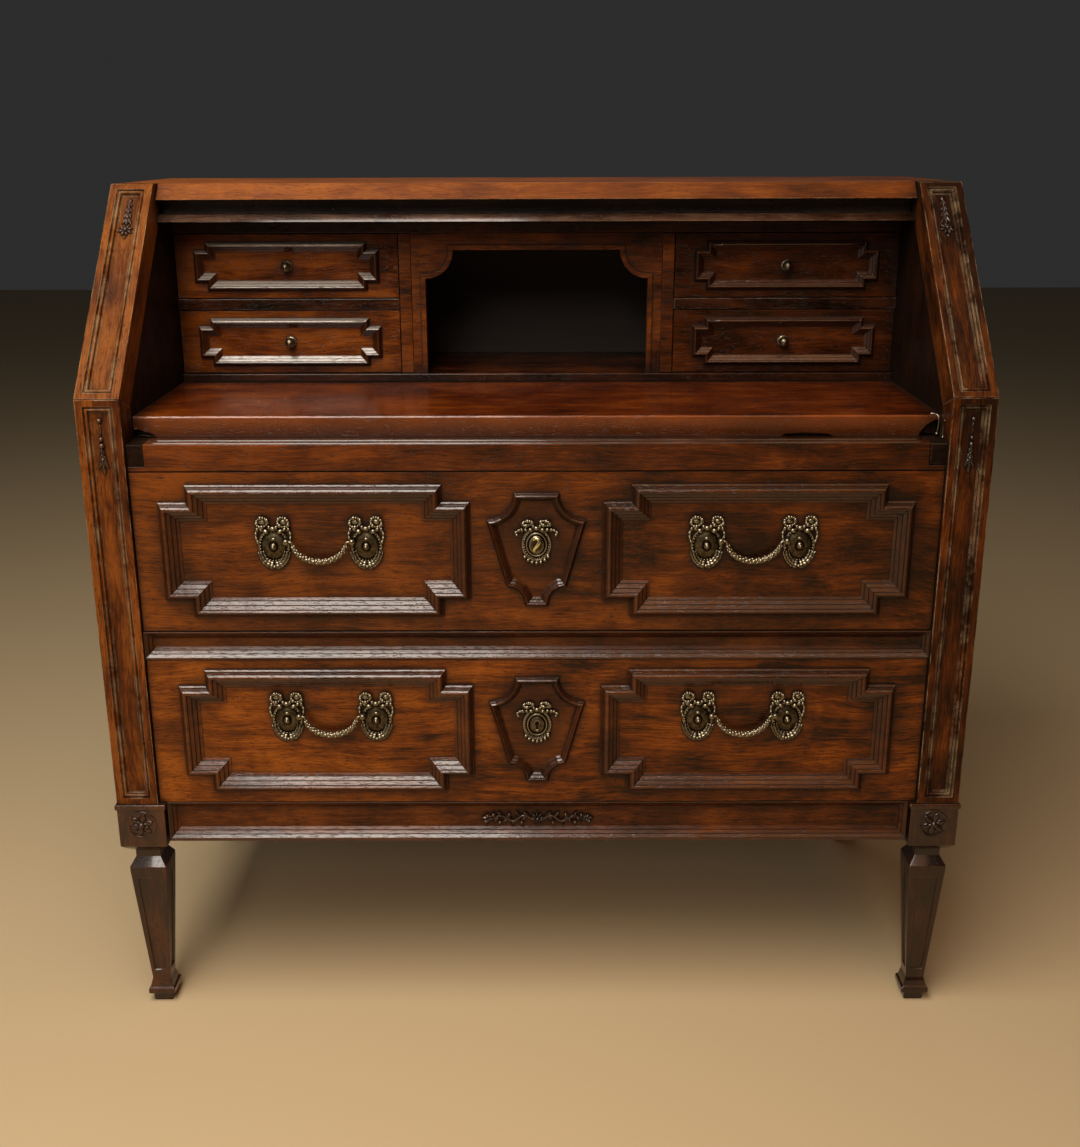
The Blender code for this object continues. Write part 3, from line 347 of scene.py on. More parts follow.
# Plain poplar, sawn and never polished: dry, yellow-brown, darker in its hollows with dirt and painted shade.
def sawnPoplar(name, look):
    material, tree, shader = newMaterial(name)
    coords = addNode(tree, "TexCoord")["Object"]
    length, width = look["streakMm"]
    along = addNode(tree, "VectorMath", times, {1: (1000 / length, 1000 / width, 1000 / width)},
                    {0: coords})[0]
    streak = addNode(tree, "TexNoise", None, {"Scale": 1.0, "Detail": 6.0, "Roughness": 0.6},
                     {"Vector": along})["Fac"]
    stain = addNode(tree, "TexNoise", None, {"Scale": 1000 / look["stainMm"], "Detail": 4.0},
                    {"Vector": coords})["Fac"]
    tone = addNode(tree, "Math", timesPlus, {1: look["stainGain"]}, {0: stain, 2: streak})[0]
    spread = addNode(tree, "MapRange", None, dict(zip(rangeEnds, look["spread"])), {"Value": tone})[0]
    colour = addNode(tree, "ValToRGB", None, None, {"Fac": spread},
                     [(0.0, look["dark"]), (0.5, look["mid"]), (1.0, look["light"])])[0]
    # dirt and painted shade in the hollows, from occlusion
    cover = addNode(tree, "AmbientOcclusion", {"samples": 4}, {"Distance": look["hollowMm"] / 1000})["AO"]
    dirtAndShade = addNode(tree, "MapRange", None, dict(zip(rangeEnds, look["dustAndPaintedLight"])), {"Value": cover})[0]
    dustyAndShaded = addNode(tree, "MixRGB", None, {"Color2": toLinear("#2b1a0c")},
                    {"Fac": dirtAndShade, "Color1": colour})[0]
    # painted shade: the side that shows in the pigeonhole is painted nearly black
    facing = addNode(tree, "NewGeometry")["True Normal"]
    south = addNode(tree, "SeparateXYZ", None, None, {0: facing})["Y"]
    inner = addNode(tree, "MapRange", None, {"From Min": -0.6, "From Max": -0.9,
                                             "To Max": look["paintedInnerShade"]}, {"Value": south})[0]
    final = addNode(tree, "MixRGB", None, {"Color2": toLinear("#140a04")},
                    {"Fac": inner, "Color1": dustyAndShaded})[0]
    tree.links.new(final, shader.inputs["Base Color"])
    bump = addNode(tree, "Bump", None, {"Strength": 0.6, "Distance": look["reliefMm"] / 1000},
                   {"Height": streak})[0]
    tree.links.new(bump, shader.inputs["Normal"])
    shader.inputs["Roughness"].default_value = look["rough"]
    return material


poplar = {
    "dark": "#5a3a1d", "mid": "#8a6238", "light": "#a87f50", "rough": 0.72, "paintedInnerShade": 0.0,
    "streakMm": (120.0, 4.0), "stainMm": 142.857, "stainGain": 0.6, "spread": (0.55, 1.05),
    "hollowMm": 30.0, "dustAndPaintedLight": (0.2, 0.9, 0.7, 0.0), "reliefMm": 0.6,
}
finishes["poplar_lining"] = sawnPoplar("poplar_lining", poplar)
finishes["poplar_back"] = sawnPoplar("poplar_back", {**poplar, "dark": "#3f2813", "mid": "#654524",
                                                     "light": "#7f5c36", "paintedInnerShade": 0.95})


# Cast brass gone brown: dark in the hollows, rubbed yellow on the high spots.
def agedBrass(name, look):
    material, tree, shader = newMaterial(name)
    coords = addNode(tree, "TexCoord")["Object"]
    height = addNode(tree, "NewGeometry")["Pointiness"]
    cover = addNode(tree, "AmbientOcclusion", {"samples": 6}, {"Distance": look["hollowMm"] / 1000})["AO"]
    cloud = addNode(tree, "TexNoise", None, {"Scale": 1000 / look["cloudMm"], "Detail": 4.0,
                                             "Roughness": 0.65}, {"Vector": coords})["Fac"]
    crest = addNode(tree, "MapRange", None, dict(zip(rangeEnds, look["crest"])), {"Value": height})[0]
    raised = addNode(tree, "Math", times, None, {0: crest, 1: cover})[0]
    mottled = addNode(tree, "Math", timesPlus, {1: look["cloudGain"]}, {0: cloud, 2: raised})[0]
    spread = addNode(tree, "MapRange", None, dict(zip(rangeEnds, look["spread"])), {"Value": mottled})[0]
    colour = addNode(tree, "ValToRGB", None, None, {"Fac": spread},
                     [(0.0, look["hollow"]), (0.45, look["body"]), (1.0, look["rubbed"])])[0]
    tree.links.new(colour, shader.inputs["Base Color"])
    dull, bright = look["gloss"]
    gloss = addNode(tree, "MapRange", None, {"To Min": look["rough"] + dull,
                                             "To Max": look["rough"] + bright}, {"Value": spread})[0]
    tree.links.new(gloss, shader.inputs["Roughness"])
    bump = addNode(tree, "Bump", None, {"Strength": 0.5, "Distance": look["reliefMm"] / 1000},
                   {"Height": cloud})[0]
    tree.links.new(bump, shader.inputs["Normal"])
    shader.inputs["Metallic"].default_value = 1.0
    return material


brass = {
    "hollow": "#090603", "body": "#352a18", "rubbed": "#8d8470", "rough": 0.36, "gloss": (0.16, -0.06),
    "hollowMm": 4.5, "cloudMm": 3.8, "cloudGain": 0.55, "crest": (0.47, 0.57), "spread": (0.25, 1.05),
    "reliefMm": 0.3,
}
finishes["brass_cast"] = agedBrass("brass_cast", brass)
finishes["brass_bright"] = agedBrass("brass_bright", {**brass, "hollow": "#3a3214", "body": "#8f8044",
                                                      "rubbed": "#d9cf9a", "rough": 0.22})
print("poplar and brass ready")


# CAD nodes get softened arrises and their finish.
softening = {"weld": 0.00002, "flatDeg": 0.6, "edgeDeg": 32.0, "segments": 2}


def dress(name, finish, roundMm):
    piece = nodes[name]
    piece.data.materials.clear()
    piece.data.materials.append(finishes[finish])
    if roundMm:
        joined = piece.modifiers.new("joined", "WELD")
        joined.merge_threshold = softening["weld"]
        flat = piece.modifiers.new("flat", "DECIMATE")
        flat.decimate_type = "DISSOLVE"
        flat.angle_limit = math.radians(softening["flatDeg"])
        arris = piece.modifiers.new("arris", "BEVEL")
        arris.width = roundMm / 1000
        arris.segments = softening["segments"]
        arris.limit_method = "ANGLE"
        arris.angle_limit = math.radians(softening["edgeDeg"])


dressing = {                     # finish and rounding in mm
    "upper_drawer_front": ("walnut_drawer", 0), "lower_drawer_front": ("walnut_low_drawer", 0),
    "apron_rail": ("walnut_frame", 0.5), "divider_rail": ("walnut_frame", 0.5),
    "bed_rail": ("walnut_rail", 1.2), "flap_stop_rail": ("walnut_bar", 0.9),
    "writing_bed": ("walnut_bed", 0), "top_board": ("walnut_top", 1.4),
    "interior_base": ("walnut_shelf", 1.2), "interior_ceiling": ("walnut_shelf", 1.0),
    "arch_frame": ("walnut_stall", 0), "back_panel": ("poplar_back", 0.5),
    "bottom_board": ("poplar_lining", 0.5), "dust_board": ("poplar_lining", 0.5),
    "upper_drawer_tray": ("poplar_lining", 0.8), "lower_drawer_tray": ("poplar_lining", 0.8),
}
paired = {
    "front_post_": ("walnut_post", 0), "slope_post_": ("walnut_slope", 0),
    "front_leg_": ("walnut_leg", 0.9), "rear_leg_": ("walnut_leg", 0.9),
    "side_panel_": ("walnut_side", 1.0), "inner_cheek_": ("walnut_inside", 0.6),
    "partition_": ("walnut_stall", 0.9), "drawer_shelf_": ("walnut_strip", 0.9),
    "loper_": ("walnut_torn", 1.2),
}
for side in sides:
    for stem, look in paired.items():
        dressing[stem + side] = look
for level, side, drawer in smallDrawers:
    dressing[drawer + "front"] = ("walnut_small_" + side, 0)
    dressing[drawer + "tray"] = ("poplar_lining", 0.5)
for name, (finish, roundMm) in dressing.items():
    dress(name, finish, roundMm)
print("dressed nodes:", len(dressing))


# Drawing board: u to the right, v up, w out of the face, in millimetres.
def boardAt(anchor, up=(0.0, 0.0, 1.0), right=(1.0, 0.0, 0.0)):
    across, rise = Vector(right), Vector(up)
    out = across.cross(rise)
    turn = Matrix((across, rise, out)).transposed().to_4x4()
    return Matrix.Translation(Vector(anchor)) @ turn @ Matrix.Diagonal((0.001, 0.001, 0.001, 1.0))


def loft(bm, rows):
    rings = [[bm.verts.new(p) for p in row] for row in rows]
    count = len(rings[0])
    for a, b in zip(rings, rings[1:]):
        for j in range(count):
            k = (j + 1) % count
            bm.faces.new((a[j], a[k], b[k], b[j]))
    bm.faces.new(list(reversed(rings[0])))
    bm.faces.new(rings[-1])


def addTurned(bm, profile, rx, rz, count=40, at=(0.0, 0.0)):
    angles = [2 * math.pi * i / count for i in range(count)]
    loft(bm, [[(at[0] + rx * r * math.cos(a), at[1] + rz * r * math.sin(a), h) for a in angles]
              for r, h in profile])


def addBead(bm, at, radius, stretch=(1.0, 1.0, 1.0), turn=0.0):
    place = Matrix.Translation(Vector(at)) @ Matrix.Rotation(turn, 4, "Z") @ Matrix.Diagonal((*stretch, 1.0))
    bmesh.ops.create_icosphere(bm, subdivisions=2, radius=radius, matrix=place)


def addPearls(bm, count, rx, rz, height, radius):
    for i in range(count):
        a = 2 * math.pi * i / count
        addBead(bm, (rx * math.cos(a), rz * math.sin(a), height), radius)


# A pointed leaf with a raised rib: its section, and its width and height along the way.
leafShape = {
    "section": ((-1.0, 0.15), (-0.55, 0.62), (-0.2, 0.72), (0.0, 1.0),
                (0.2, 0.72), (0.55, 0.62), (1.0, 0.15), (0.0, -0.25)),
    "along": ((0.0, 0.2, 0.45), (0.2, 0.8, 0.9), (0.45, 1.0, 1.0), (0.75, 0.66, 0.85), (1.0, 0.06, 0.35)),
}


def addLeaf(bm, base, tip, width, rise, lift=0.0):
    start, end = Vector((*base, lift)), Vector((*tip, lift))
    along = end - start
    across = Vector((-along.y, along.x, 0.0)).normalized()
    rows = []
    for t, w, h in leafShape["along"]:
        middle = start + along * t
        rows.append([middle + across * (width * w * k / 2) + Vector((0.0, 0.0, rise * h * z))
                     for k, z in leafShape["section"]])
    loft(bm, rows)


# A ribbon or rod along a path; squash flattens it against the face.
def addRod(bm, path, radii, squash=1.0, count=8):
    rows = []
    for i, here in enumerate(path):
        ahead = (Vector(path[min(i + 1, len(path) - 1)]) - Vector(path[max(i - 1, 0)])).normalized()
        across = ahead.cross(Vector((0.0, 0.0, 1.0))).normalized()
        rise = across.cross(ahead)
        row = []
        for k in range(count):
            a = 2 * math.pi * k / count
            row.append(Vector(here) + (across * math.cos(a) + rise * math.sin(a) * squash) * radii[i])
        rows.append(row)
    loft(bm, rows)


# Flat outline drawn on the board and given a thickness from w0 to w1.
def addPrism(bm, outline, w0, w1):
    loft(bm, [[(u, v, w) for u, v in outline] for w in (w0, w1)])


def smoothPath(points, steps=5):
    out = []
    for i in range(len(points) - 1):
        p0, p1 = Vector(points[max(i - 1, 0)]), Vector(points[i])
        p2, p3 = Vector(points[i + 1]), Vector(points[min(i + 2, len(points) - 1)])
        for j in range(steps):
            t = j / steps
            out.append(0.5 * ((2 * p1) + (p2 - p0) * t + (2 * p0 - 5 * p1 + 4 * p2 - p3) * t * t
                              + (3 * p1 - p0 - 3 * p2 + p3) * t ** 3))
    out.append(Vector(points[-1]))
    return out


def newMesh(name, bm, place):
    bmesh.ops.transform(bm, matrix=place, verts=bm.verts)
    bmesh.ops.recalc_face_normals(bm, faces=bm.faces)
    mesh = bpy.data.meshes.new(name)
    bm.to_mesh(mesh)
    bm.free()
    piece = bpy.data.objects.new(name, mesh)
    scene.collection.objects.link(piece)
    return piece


def makePiece(name, bm, place, finish, body, stands=None):
    piece = newMesh(name, bm, place)
    for face in piece.data.polygons:
        face.use_smooth = True
    piece.data.materials.append(finishes[finish])
    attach(piece, body)
    if stands:
        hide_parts(stands)


# Brass handles: rosettes with a ribbon bow and a laurel spray, and a garland that swings. All in mm.
handle = {
    "span": 110.0,
    "plate": (18.5, 21.0),
    "rings": ((1.0, 0.4), (1.03, 1.6), (0.99, 2.7), (0.93, 3.0), (0.89, 2.2), (0.85, 2.0), (0.79, 2.6),
              (0.67, 3.6), (0.53, 4.4), (0.40, 4.9), (0.30, 5.2), (0.26, 4.9), (0.23, 5.6), (0.20, 7.4),
              (0.15, 8.6), (0.08, 9.2), (0.02, 9.3)),
    "pearls": 30, "pearlAt": 0.88, "pearlUp": 2.2, "pearlR": 1.2,
    "bossUp": 9.2, "bossR": 2.3,
    "claspAt": (0.0, 8.6, 4.4), "claspR": 2.4,
    "lugIn": 16.0, "lugUp": 7.0, "lugOut": 11.5, "lugR": 3.4,
    "sag": 24.3, "reach": 31.6, "pinR": 1.3,
}
rope = {"steps": 24, "core": (1.9, 1.0), "leaves": 3, "leaf": (4.4, 2.5, 2.0), "leafOut": 2.2,
        "swell": (0.68, 0.32), "wind": 1.1, "lean": (0.8, 0.75)}
rosetteBow = {
    "loopAt": (12.6, 29.0), "loopR": (6.6, 5.6), "leanDeg": 24.0, "ribbonR": 2.1,
    "knots": ((0.0, 21.5, 3.4), (8.4, 18.0, 3.5), (13.6, 20.6, 2.7), (4.2, 23.0, 2.4), (18.4, 20.4, 2.4)),
    "tail": ((18.5, 20.0), (20.4, 15.0), (20.2, 9.5), (18.6, 4.5)),
}
keyBow = {
    "loopAt": (10.6, 26.4), "loopR": (5.6, 2.6), "leanDeg": 10.0, "ribbonR": 2.0,
    "knots": ((0.0, 20.6, 3.0), (7.0, 18.6, 2.7), (12.6, 18.6, 2.4), (17.4, 18.4, 2.2), (4.0, 22.6, 2.0)),
    "tail": ((17.4, 18.4), (21.0, 17.6), (24.4, 15.0), (23.2, 12.0)),
}
spray = {"radii": (16.5, 25.0), "footDeg": 272.0, "spanDeg": 52.0, "pairs": 5, "leafMm": 6.4, "leafUp": 3.2,
         "turnDeg": 22.0, "lift": 2.8, "rows": ((-2.3, 0.0), (2.3, 0.0), (0.0, 1.5)),
         "berries": ((0.0, 2.2), (-3.6, 1.8), (3.6, 1.8))}


# Each loop is a crimped ribbon; the knots lie across the top of the plate.
def addBow(bm, bow):
    x, v = bow["loopAt"]
    rx, rz = bow["loopR"]
    count = 13
    for sign in (-1, 1):
        addBead(bm, (sign * x, v, 1.6), rz * 0.8, (1.2, 0.9, 0.6))
        lean = -sign * math.radians(bow["leanDeg"])
        ring = []
        for i in range(count):
            a = 2 * math.pi * i / count
            p, q = rx * math.cos(a), rz * math.sin(a)
            ring.append((sign * x + p * math.cos(lean) - q * math.sin(lean),
                         v + p * math.sin(lean) + q * math.cos(lean), 3.2 + 0.9 * math.sin(2 * a)))
        path = ring + ring[:2]
        addRod(bm, path, [bow["ribbonR"] * 0.75] * len(path), 0.9, 7)
        for i, spot in enumerate(ring):
            addBead(bm, (spot[0], spot[1], spot[2] + 0.5), bow["ribbonR"] * (1.3, 0.75, 1.0)[i % 3])
        for k, (kx, kv, r) in enumerate(bow["knots"]):
            if kx or sign > 0:
                addBead(bm, (sign * kx, kv, 4.0), r, (1.15, 0.9, 0.95), sign * 0.4 * k)
        tail = smoothPath([(sign * p, q, 2.8) for p, q in bow["tail"]], 3)
        addRod(bm, tail, [1.5] * len(tail), 0.8, 6)
        for i, spot in enumerate(tail):
            addBead(bm, (spot.x, spot.y, 3.2), 2.0 if i % 3 == 0 else 1.5)


# Three rows of laurel leaves that run up both sides from the foot.
def addSpray(bm, look):
    rx, rz = look["radii"]
    for sign in (-1, 1):
        for i in range(look["pairs"]):
            t = i / (look["pairs"] - 1)
            a = math.radians(look["footDeg"] + look["spanDeg"] * t)
            b = a + math.radians(look["turnDeg"])
            size = 1.0 - 0.3 * t
            for off, lift in look["rows"]:
                base = (sign * (rx + off) * math.cos(a), (rz + off) * math.sin(a))
                tip = (sign * (rx + 1.5 * off) * math.cos(b), (rz + 1.5 * off) * math.sin(b))
                addLeaf(bm, base, tip, look["leafMm"] * size, look["leafUp"] * size, look["lift"] + lift)
    for x, r in look["berries"]:
        addBead(bm, (x, 0.3 * abs(x) - rz, 5.4), r)


def rosette(name, centre, inward, body, node):
    bm = bmesh.new()
    rx, rz = handle["plate"]
    addTurned(bm, handle["rings"], rx, rz)
    share = handle["pearlAt"]
    addPearls(bm, handle["pearls"], share * rx, share * rz, handle["pearlUp"], handle["pearlR"])
    addBead(bm, (0.0, 0.0, handle["bossUp"]), handle["bossR"])
    addBead(bm, handle["claspAt"], handle["claspR"], (1.3, 0.9, 0.7))
    addBow(bm, rosetteBow)
    addSpray(bm, spray)
    r = handle["lugR"]
    tip = handle["lugOut"] + r
    lug = ((1.35, 0.6), (1.3, 2.4), (0.9, 4.0), (0.8, 6.0), (1.0, 8.2), (1.0, tip - 1.4), (0.8, tip - 0.5),
           (0.35, tip))
    addTurned(bm, lug, r, r, 18, (inward * handle["lugIn"], handle["lugUp"]))
    makePiece(name, bm, boardAt(centre), "brass_cast", body, node)


# Leaves wound round a core, thick in the middle, on two pins.
def garland(name, centre, body, node):
    bm = bmesh.new()
    reach, sag, steps = handle["reach"], handle["sag"], rope["steps"]
    pin = handle["span"] / 2 - handle["lugIn"] - 0.6          # ends just short of the lug's axis
    drop = [(reach * math.cos(math.pi * i / steps), -sag * math.sin(math.pi * i / steps), 0.0)
            for i in range(1, steps)]
    ends = [(pin, 0.0, 0.0), (reach + 2.2, 0.0, 0.0), (reach + 0.8, -0.8, 0.0), (reach, -2.4, 0.0)]
    path = ends + drop[1:-1] + [(-x, v, w) for x, v, w in reversed(ends)]
    thin, thick = rope["core"]
    neck = [handle["pinR"]] * 2 + [1.5, 1.7]
    middle = [thin + thick * math.sin(math.pi * (i + 2) / steps) for i in range(len(drop) - 2)]
    addRod(bm, path, neck + middle + neck[::-1], 1.0, 8)
    front = Vector((0.0, 0.0, 1.0))
    slim, bulge = rope["swell"]
    along, aside = rope["lean"]
    for i in range(1, steps - 2):
        here = Vector(drop[i])
        ahead = (Vector(drop[i + 1]) - Vector(drop[i - 1])).normalized()
        across = ahead.cross(front).normalized()
        swell = slim + bulge * math.sin(math.pi * i / steps)
        for k in range(rope["leaves"]):
            a = i * rope["wind"] + k * 2 * math.pi / rope["leaves"]
            out = across * math.cos(a) + front * math.sin(a)
            lean = (ahead * along - across * aside * math.sin(a) + front * aside * math.cos(a)).normalized()
            third = out.cross(lean).normalized()
            turn = Matrix((lean, third, lean.cross(third))).transposed().to_4x4()
            size = Matrix.Diagonal([mm * swell for mm in rope["leaf"]] + [1.0])
            place = Matrix.Translation(here + out * rope["leafOut"] * swell) @ turn @ size
            bmesh.ops.create_icosphere(bm, subdivisions=1, radius=1.0, matrix=place)
    makePiece(name, bm, boardAt(centre), "brass_cast", body, node)


for level in levels:
    for side in sides:
        bail = "%s_%s_bail" % (level, side)
        joint = [j for j in frame["joints"] if j["child"] == bail][0]
        axis = Vector(joint["pos_m"])
        garland(bail + "_garland", axis, bail, bail)
        for end, way in zip(sides, (-1, 1)):
            node = "%s_%s_rosette_%s" % (level, side, end)
            centre = (axis.x + way * handle["span"] / 2000, faceY, axis.z - handle["lugUp"] / 1000)
            rosette(node + "_cast", centre, -way, level + "_drawer", node)
print("handles cast")


keyPlate = {
    "plate": (17.6, 20.6), "foot": 25.0, "sectors": 48,
    "rings": ((1.0, 0.4), (1.04, 1.4), (1.0, 2.8), (0.93, 3.4), (0.87, 2.6), (0.83, 1.8), (0.77, 2.0),
              (0.73, 3.2), (0.68, 4.0), (0.63, 3.8), (0.60, 2.9), (0.55, 2.8), (0.50, 3.6), (0.42, 4.1)),
    "keyR": 2.5, "slotHalf": 1.15, "slotFoot": -6.0, "eyeUp": 2.0,
    "lip": ((1.6, 4.4), (1.3, 4.5), (1.0, 4.1), (1.0, 0.4)),     # growth and height round the keyhole
    "pearls": 34, "pearlAt": 0.85, "pearlUp": 2.2, "pearlR": 1.05,
    "fringe": 3, "fringeDeg": 16.0,
    "eye": (9.0, 11.0),
    "cover": ((1.0, 3.0), (1.03, 4.0), (0.96, 4.7), (0.80, 5.2), (0.55, 5.6), (0.25, 5.9), (0.02, 6.0)),
    "curl": ((-4.4, 6.0, 5.2), (0.0, 8.0, 5.4), (3.6, 5.0, 6.2), (0.6, -0.5, 6.8), (-3.0, -5.6, 6.0),
             (-1.6, -8.4, 5.0)),
}


# Edge of a keyhole seen from its middle, as a radius for each angle.
def keyholeRadius(a):
    dx, dz = math.cos(a), math.sin(a)
    best = 0.2
    up, r = keyPlate["eyeUp"], keyPlate["keyR"]
    b = dz * up
    inside = b * b - up * up + r * r
    if inside > 0:
        best = max(best, b + math.sqrt(inside))
    reachX = keyPlate["slotHalf"] / max(abs(dx), 1e-6)
    reachZ = (-keyPlate["slotFoot"] if dz < 0 else up) / max(abs(dz), 1e-6)
    return max(best, min(reachX, reachZ))


def keyPlateShape(level):
    node = level + "_key_plate"
    place = boardAt((0.0, faceY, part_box(node)[0].z + keyPlate["foot"] / 1000))
    bm = bmesh.new()
    rx, rz = keyPlate["plate"]
    count = keyPlate["sectors"]
    angles = [2 * math.pi * i / count for i in range(count)]
    rows = []
    for r, h in keyPlate["rings"]:
        rows.append([(rx * r * math.cos(a), rz * r * math.sin(a), h) for a in angles])
    for grow, h in keyPlate["lip"]:
        rows.append([(keyholeRadius(a) * grow * math.cos(a), keyholeRadius(a) * grow * math.sin(a), h)
                     for a in angles])
    rings = [[bm.verts.new(p) for p in row] for row in rows]
    for a, b in zip(rings, rings[1:] + rings[:1]):
        for j in range(count):
            k = (j + 1) % count
            bm.faces.new((a[j], a[k], b[k], b[j]))
    share = keyPlate["pearlAt"]
    addPearls(bm, keyPlate["pearls"], share * rx, share * rz, keyPlate["pearlUp"], keyPlate["pearlR"])
    addBow(bm, keyBow)
    for i in range(-keyPlate["fringe"], keyPlate["fringe"] + 1):   # pearls and leaf tips along the foot
        a = math.radians(270 + keyPlate["fringeDeg"] * i)
        b = a + math.radians(5)
        base = (0.88 * rx * math.cos(a), 0.92 * rz * math.sin(a))
        tip = (1.22 * rx * math.cos(b), 1.20 * rz * math.sin(b))
        addLeaf(bm, base, tip, 5.0, 2.8, 1.8)
        addBead(bm, (1.06 * rx * math.cos(a), 1.08 * rz * math.sin(a), 3.8), 2.2)
    makePiece(node + "_cast", bm, place, "brass_cast", level + "_drawer", node)
    if level == "upper":         # cover over the keyhole, with a rubbed ridge that curls across it
        bm = bmesh.new()
        ex, ez = keyPlate["eye"]
        addTurned(bm, keyPlate["cover"], ex, ez, 32)
        makePiece(node + "_cover", bm, place, "brass_cast", level + "_drawer")
        bm = bmesh.new()
        curl = smoothPath(keyPlate["curl"], 4)
        last = len(curl) - 1
        addRod(bm, curl, [0.9 + 1.5 * math.sin(math.pi * i / last) for i in range(last + 1)], 0.55, 8)
        makePiece(node + "_ridge", bm, place, "brass_bright", level + "_drawer")


for level in levels:
    keyPlateShape(level)
print("key plates cast")


# A thin fillet tops each small frame; its face leans back a little and catches the light.
fillet = {"foot": -1.4, "head": 1.5, "proud": 0.22, "lean": {"upper": 0.64, "lower": 0.80},
          "back": (-1.6, -1.0), "short": 2.0, "parts": 6,
          # painted light: the left fillets get the whitish painted highlight, the right ones a dark brown
          "finish": {"left": "walnut_painted_sheen", "right": "walnut_fillet"}}
near = 0.0002                                    # points this close count as on the same edge
for level, side, drawer in smallDrawers:
    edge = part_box(drawer + "front")[0].y
    crest = [p.co for p in nodes[drawer + "front"].data.vertices if p.co.y < edge + near]
    topZ = max(p.z for p in crest)
    xs = [p.x for p in crest if p.z > topZ - near]
    half = 500 * (max(xs) - min(xs)) - fillet["short"]
    v0, v1, w0 = fillet["foot"], fillet["head"], fillet["proud"]
    backHead, backFoot = fillet["back"]
    section = ((v0, w0), (v1, w0 - fillet["lean"][level]), (v1, backHead), (v0, backFoot))
    parts = fillet["parts"]
    bm = bmesh.new()
    loft(bm, [[(half * t / parts, v, w) for v, w in section] for t in range(-parts, parts + 1)])
    place = boardAt(((max(xs) + min(xs)) / 2, edge, topZ))
    makePiece(drawer + "fillet", bm, place, fillet["finish"][side], drawer + "drawer")
print("small frames filleted")


# Knobs of the small drawers: a pressed rose, a neck and an acorn.
knob = {
    "radius": 6.8,
    "profile": ((1.05, 0.0), (1.12, 0.7), (1.0, 1.6), (0.72, 2.2), (0.46, 3.2), (0.38, 5.4), (0.50, 6.8),
                (0.92, 7.8), (1.0, 8.8), (0.90, 9.6), (0.84, 10.2), (0.92, 12.0), (0.86, 14.2), (0.64, 16.4),
                (0.36, 17.6), (0.14, 18.3), (0.02, 18.5)),
    "rose": 14, "roseR": 6.6, "roseUp": 1.0, "petalR": 0.95,
}
for level, side, drawer in smallDrawers:
    low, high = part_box(drawer + "knob")
    middle = ((low.x + high.x) / 2, high.y, (low.z + high.z) / 2)
    bm = bmesh.new()
    addTurned(bm, knob["profile"], knob["radius"], knob["radius"], 28)
    addPearls(bm, knob["rose"], knob["roseR"], knob["roseR"], knob["roseUp"], knob["petalR"])
    makePiece(drawer + "knob_turned", bm, boardAt(middle), "brass_cast", drawer + "drawer",
              drawer + "knob")
print("knobs turned")


# Carving in the posts, blocks and apron.
def addFlower(bm, at, radius, petals, rise, lift=0.0):
    x, v = at
    for i in range(petals):
        a = 2 * math.pi * i / petals + 0.3
        c, s = radius * math.cos(a), radius * math.sin(a)
        addLeaf(bm, (x + 0.2 * c, v + 0.2 * s), (x + c, v + s), radius * 3.6 / petals, rise, lift)
    addBead(bm, (x, v, lift + rise * 0.7), radius * 0.26)


# A drop of husks: each is a pair of leaves round a berry, getting bigger downwards.
def addHusks(bm, top, foot, husks, width):
    for i in range(husks):
        t = i / max(1, husks - 1)
        v = top + (foot - top) * t
        w = width * (0.55 + 0.45 * t)
        for sign in (-1, 1):
            addLeaf(bm, (sign * 0.6, v + 0.75 * w), (sign * 0.62 * w, v - 0.5 * w), 0.62 * w, 2.6, 0.2)
        addLeaf(bm, (0.0, v + 0.6 * w), (0.0, v - 0.8 * w), 0.5 * w, 3.2, 0.6)
        addBead(bm, (0.0, v + 0.7 * w, 1.8), 0.2 * w + 0.6)


# Heights are in mm from the knee; a leaf is base, tip and width, husks are top, foot, number and width.
post = {
    "sink": 0.005, "leafUp": 2.6,
    "slopeLeaves": ((292.0, 300.0, 6.0), (241.0, 235.0, 5.0)),
    "slopeHusks": (288.0, 262.0, 4, 9.0),
    "slopeFlower": {"at": (0.0, 248.7), "radius": 9.6, "petals": 8, "rise": 3.6},
    "kneeBeads": ((0.0, -25.0, 1.8, 3.2), (0.0, -47.0, 1.8, 2.8), (0.2, -54.8, 2.0, 3.4)),
    "kneeStem": ((0.0, -27.0, 0.8), (0.6, -36.0, 0.8), (-0.4, -44.0, 0.8)),
    "kneeStemR": (0.9, 0.8, 0.9),
    "kneeHusks": (-63.0, -78.0, 3, 9.5),
    "kneeLeaf": (-80.0, -90.0, 6.0),
}
block = {
    "sink": 0.002, "drop": 0.028, "ringR": 19.0,
    "ring": ((1.0, -0.4), (1.0, 0.5), (0.94, 1.0), (0.87, 0.5), (0.85, 0.1), (0.5, 0.1)),
    "flowers": ((16.0, 2.4), (8.0, 3.0)), "petals": 6,
}
slopeUp = Vector((0.0, math.sin(slopeTilt), math.cos(slopeTilt)))
slopeOut = Vector((0.0, -math.cos(slopeTilt), math.sin(slopeTilt)))
